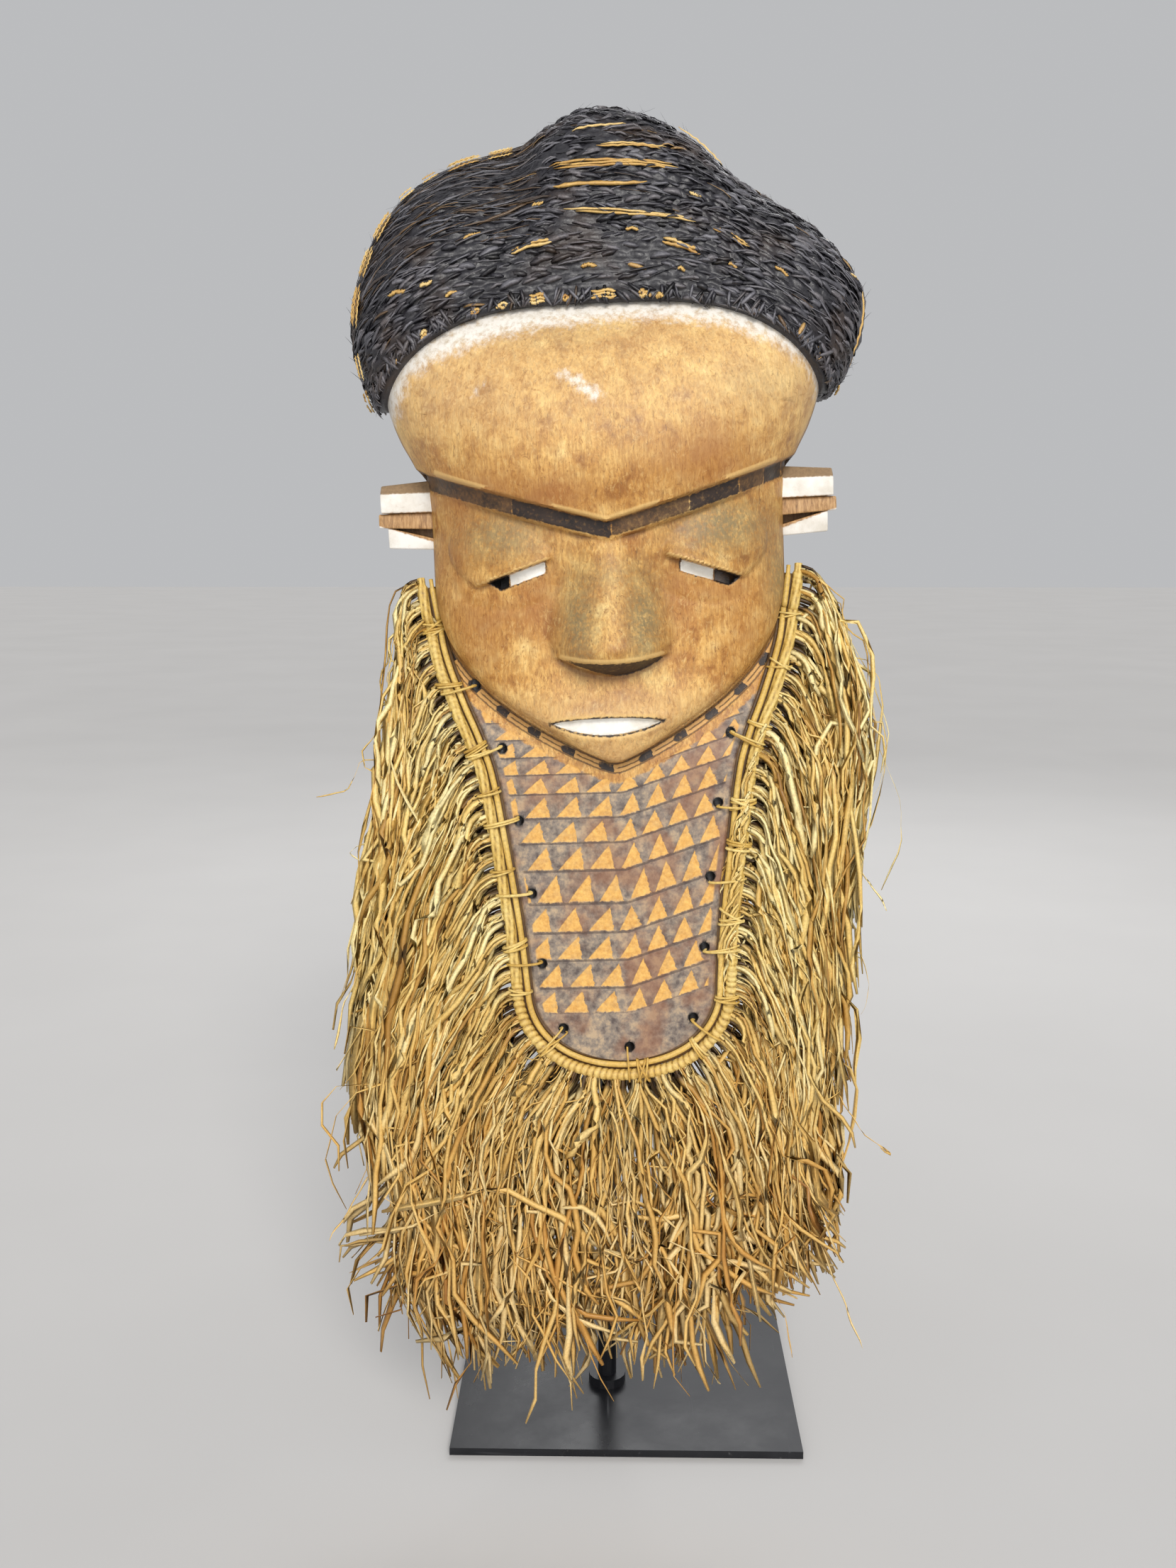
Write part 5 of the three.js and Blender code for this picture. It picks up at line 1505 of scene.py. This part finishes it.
def raffia_paths(rng, at, lengths, shared, loose, bundle=None, inward=False):
    """Strands that leave the heading outwards, bend down and hang within the curtain's outline.

    Each has a line to follow; it wanders off it with its bundle and by itself, more so further down.
    """
    head, outward, _ = beside_edge(FRINGE_START, HEADING_OFFSET - SNUG + 0.6, 0, 1001)
    place = np.clip((at * 1000).astype(int), 0, 1000)
    start, leaving = head[place], np.arctan2(np.abs(outward[place, 0]), -outward[place, 1])
    count, points = len(at), len(STRAND_PLACES)
    side = np.where(start[:, 0] < 0, -1.0, 1.0)
    root, top = np.abs(start[:, 0]), start[:, 2]
    up_the_side = np.clip(root / BOARD_HALF_WIDTH[0][1], 0, 1)
    height = np.clip((top - BOARD_ROUND) / (FRINGE_START - BOARD_ROUND), 0, 1)
    nearest = mix(-0.34, 0.16, up_the_side**0.6) + 0.3 * height
    share = rng.beta(1.5, 1.1, count)
    if bundle is not None:
        share = mix(share, rng.beta(1.6, 1.0, bundle.max() + 1)[bundle], 0.5)
    reach = mix(nearest, mix(0.2, 1.0, up_the_side**1.5), share)
    if inward:
        reach = -rng.uniform(0.02, 0.14, count)
    spread = (curtain_reach(side, top) - root) * reach
    settle = 1.15 * np.abs(spread) * rng.uniform(0.75, 1.35, count) + 5

    def line(z):
        return root + (curtain_reach(side, z) - root) * reach - spread * np.exp(-(top - z) / settle)

    end_x = root + (curtain_reach(side, LOW_ON_CURTAIN) - root) * reach
    drop = top - along(FRINGE_BOTTOM, side * end_x)
    own = rng.uniform(*lengths, count)
    length = np.minimum(own, drop * rng.uniform(0.8, 1.06, count) + 0.3 * np.abs(spread))
    length = np.maximum(length, 20) * mix(1, 0.72, height)
    steps = np.diff(STRAND_PLACES, append=1.08)
    x, z, wander = root.copy(), top.copy(), np.zeros(count)
    curl = rng.normal(0, 0.36, count) * (rng.random(count) < 0.5)
    path = np.empty((count, points, 3))
    for k in range(points):
        run, step = STRAND_PLACES[k] * length, steps[k] * length
        slow = np.sqrt(steps[k] * (points - 1))
        depth = along(FRINGE_DEPTH, z) + 17 * smoothstep(70, 140, x) * smoothstep(-100, -300, z)
        path[:, k] = np.stack([side * x, mix(start[:, 1], depth, smoothstep(0, 75, run)), z], -1)
        rough = smoothstep(-210, -400, z)
        kinked = rng.random(count) < loose * mix(0.03, 0.2, rough)
        wander = 0.72 * wander + rng.normal(0, 1, count) * slow * mix(0.06, 0.19, rough) * (1 + 2.2 * loose)
        wander = wander + kinked * rng.normal(0, 0.95, count) + shared[:, k] * mix(0.05, 0.1, rough)
        wander = wander + curl * (k > points * 0.65) * mix(0.4, 1.2, rough)
        pull = np.clip((line(z) - x) / 16, -0.9, 0.9) * mix(1, 0.35, rough)
        angle = np.arctan2(line(z - 2) - line(z), 2) + pull + np.clip(wander, -1.7, 1.7)
        angle = mix(angle, leaving * (-0.5 if inward else 1), 0.85 * np.exp(-(run / 7) ** 2))
        x, z = x + np.sin(angle) * step, z - np.cos(angle) * step
        x = np.where(x > curtain_reach(side, z) + 5, mix(x, curtain_reach(side, z) + 5, 0.6), x)
    return path


def make_strands(name, rng, path, widths, tone, shade, finish, replaced=()):
    """Flat ribbons along paths: each turns a little about its own length and ends blunt."""
    count, points, _ = path.shape
    profile = np.interp(STRAND_PLACES, [0, 0.08, 0.5, 0.85, 0.95, 1], [0.75, 1, 1.05, 1.35, 1.1, 0.55])
    turn = rng.normal(0, 0.5, (count, 1)) + np.cumsum(rng.normal(0, 0.42, (count, points)), axis=1)
    facing = np.stack([np.sin(turn), -np.cos(turn), np.zeros_like(turn)], -1)
    body, faces = strands(path, widths[:, None] * profile, 0.28, facing)
    make_piece(name, body, faces, finish, "raffia", replaced,
               tone=np.repeat(np.clip(tone, 0, 1), points * 3),
               shade=np.repeat(np.clip(shade, 0, 0.95), 3, axis=1))


def make_layer(name, seed, per_bundle, layer, lengths, loose, shade, finish, replaced=(), even=False):
    """One layer of the curtain; layer is its place in the curtain's thickness and its spread there.

    An even layer fills the curtain without gaps between its bundles.
    """
    rng = np.random.default_rng(seed)
    points, t = len(STRAND_PLACES), STRAND_PLACES
    bundle = np.repeat(np.arange(BUNDLES), per_bundle)
    count = len(bundle)
    across = np.clip(rng.normal(0, 0.19, count), -0.3, 0.3)
    margin, dark = 0.001, 0.35
    if even:
        across = rng.uniform(-0.5, 0.5, count)
        margin, dark = 0.025, 0.55
    at = np.clip((bundle + 0.5 + across) / BUNDLES, margin, 1 - margin)
    shared = rng.normal(0, 1, (BUNDLES, points))[bundle]
    path = raffia_paths(rng, at, lengths, shared, loose * (rng.random(count) < 0.45), bundle)
    thickness = np.interp(t, [0, 0.25, 0.55, 0.8, 1], [1.6, 6, 10, 8, 5])
    weave = np.cumsum(rng.normal(0, 0.5, (count, points)), axis=1) * np.clip(t * 3, 0, 1)
    path[..., 1] += layer[0] * thickness + rng.uniform(-1, 1, (count, 1)) * layer[1] * thickness + weave
    tone = 0.72 + 0.1 * rng.normal(0, 1, BUNDLES)[bundle] + rng.normal(0, 0.25, count)
    # Painted shade: deeper layers darker, and the roots darker at the bundles' borders, most in an even layer
    at_border = np.clip(np.abs(across[:, None]) / 0.3, 0, 1) ** 2
    strand_shade = shade + rng.uniform(-0.12, 0.12, (count, 1)) + at_border * np.clip((0.075 - t) / 0.04, 0, 1)
    strand_shade = strand_shade + dark * at_border * np.clip((0.24 - t) / 0.14, 0, 1)
    widths = np.clip(rng.gamma(9, 0.235, count), 1.0, 3.6)
    make_strands(name, rng, path, widths, tone, strand_shade, finish, replaced)


RAFFIA_TONES = [(0.0, 132, 92, 38), (0.28, 192, 148, 72), (0.5, 224, 186, 104), (0.75, 242, 212, 132),
                (1.0, 252, 236, 174)]
LOOSE_ENDS = [
    [(-100, -72), (-120, -94), (-118, -101), (-106, -107)],
    [(-104, -100), (-121, -98), (-127, -112), (-141, -113)],
    [(-108, -128), (-118, -136), (-127, -141), (-122, -143)], [(-110, -168), (-124, -190), (-128, -205)],
    [(-122, -190), (-133, -212), (-138, -232)], [(-98, -30), (-104, -46), (-106, -62)],
    [(112, -48), (122, -70), (129, -93), (122, -118), (113, -134)],
    [(110, -80), (124, -101), (133, -128), (132, -146), (121, -166)],
    [(108, -150), (117, -163), (124, -176)], [(100, -200), (112, -196), (116, -212), (110, -224)],
    [(98, -262), (112, -284), (124, -292), (118, -288)], [(86, -330), (98, -360), (108, -388)],
    [(60, -352), (72, -372), (74, -392)], [(-128, -300), (-140, -318), (-146, -326)],
]


def make_loose_strands(finish):
    """Strands that stray: drawn ones, random ones out of the curtain, and some over the board's edge."""
    rng = np.random.default_rng(36)
    points = len(STRAND_PLACES)
    paths = []
    for line in LOOSE_ENDS:
        even, _ = resample(np.array(line, float), points)
        bent = even + np.stack([wavy(points, k + len(paths), 0.7, 5) for k in (50, 90)], -1)
        depth = along(FRINGE_DEPTH, bent[:, 1]) + 6 * np.linspace(1, -1, points)
        paths.append(np.stack([bent[:, 0], depth, bent[:, 1]], -1))
    at = np.clip(rng.beta(0.8, 0.8, STRAYING), 0.004, 0.996)
    still = np.zeros((STRAYING, points))
    straying = raffia_paths(rng, at, (60, 180), still, np.full(STRAYING, 2.2))
    straying[..., 1] -= mix(3, 9, STRAND_PLACES) * rng.uniform(-0.6, 1, (STRAYING, 1))
    at = rng.uniform(0.66, 0.86, OVER_BOARD)
    over = raffia_paths(rng, at, (24, 80), still[:OVER_BOARD], np.full(OVER_BOARD, 1.2), inward=True)
    over[..., 1] -= 5
    path = np.concatenate([np.array(paths), straying, over])
    widths = np.concatenate([rng.uniform(0.5, 1.0, len(paths)), rng.uniform(0.5, 1.4, STRAYING),
                             rng.uniform(1.2, 2.2, OVER_BOARD)])
    tone = rng.normal(0.7, 0.15, len(path))
    make_strands("raffia_loose", rng, path, widths, tone, np.zeros((len(path), points)), finish)


def make_raffia():
    finish = straw_finish("raffia", RAFFIA_TONES, 0.42, 900)
    # The shade numbers are painted shade: the further back a layer lies, the darker
    make_layer("raffia_back", 31, 13, (0.9, 0.1), (150, 240), 0.2, 0.4, finish, ["raffia_fringe"], even=True)
    make_layer("raffia_deep", 32, 15, (0.4, 0.25), (140, 240), 0.4, 0.38, finish)
    make_layer("raffia_middle", 33, 16, (-0.1, 0.3), (120, 240), 0.7, 0.12, finish)
    make_layer("raffia_front", 34, 15, (-0.6, 0.3), (80, 235), 1.0, 0.0, finish)
    make_layer("raffia_short", 35, 4, (-0.9, 0.2), (26, 110), 0.6, 0.0, finish)
    make_loose_strands(finish)


# The whole object

make_camera()
make_stage()
make_mask()
make_cap()
make_hoop()
make_raffia()
make_stand()
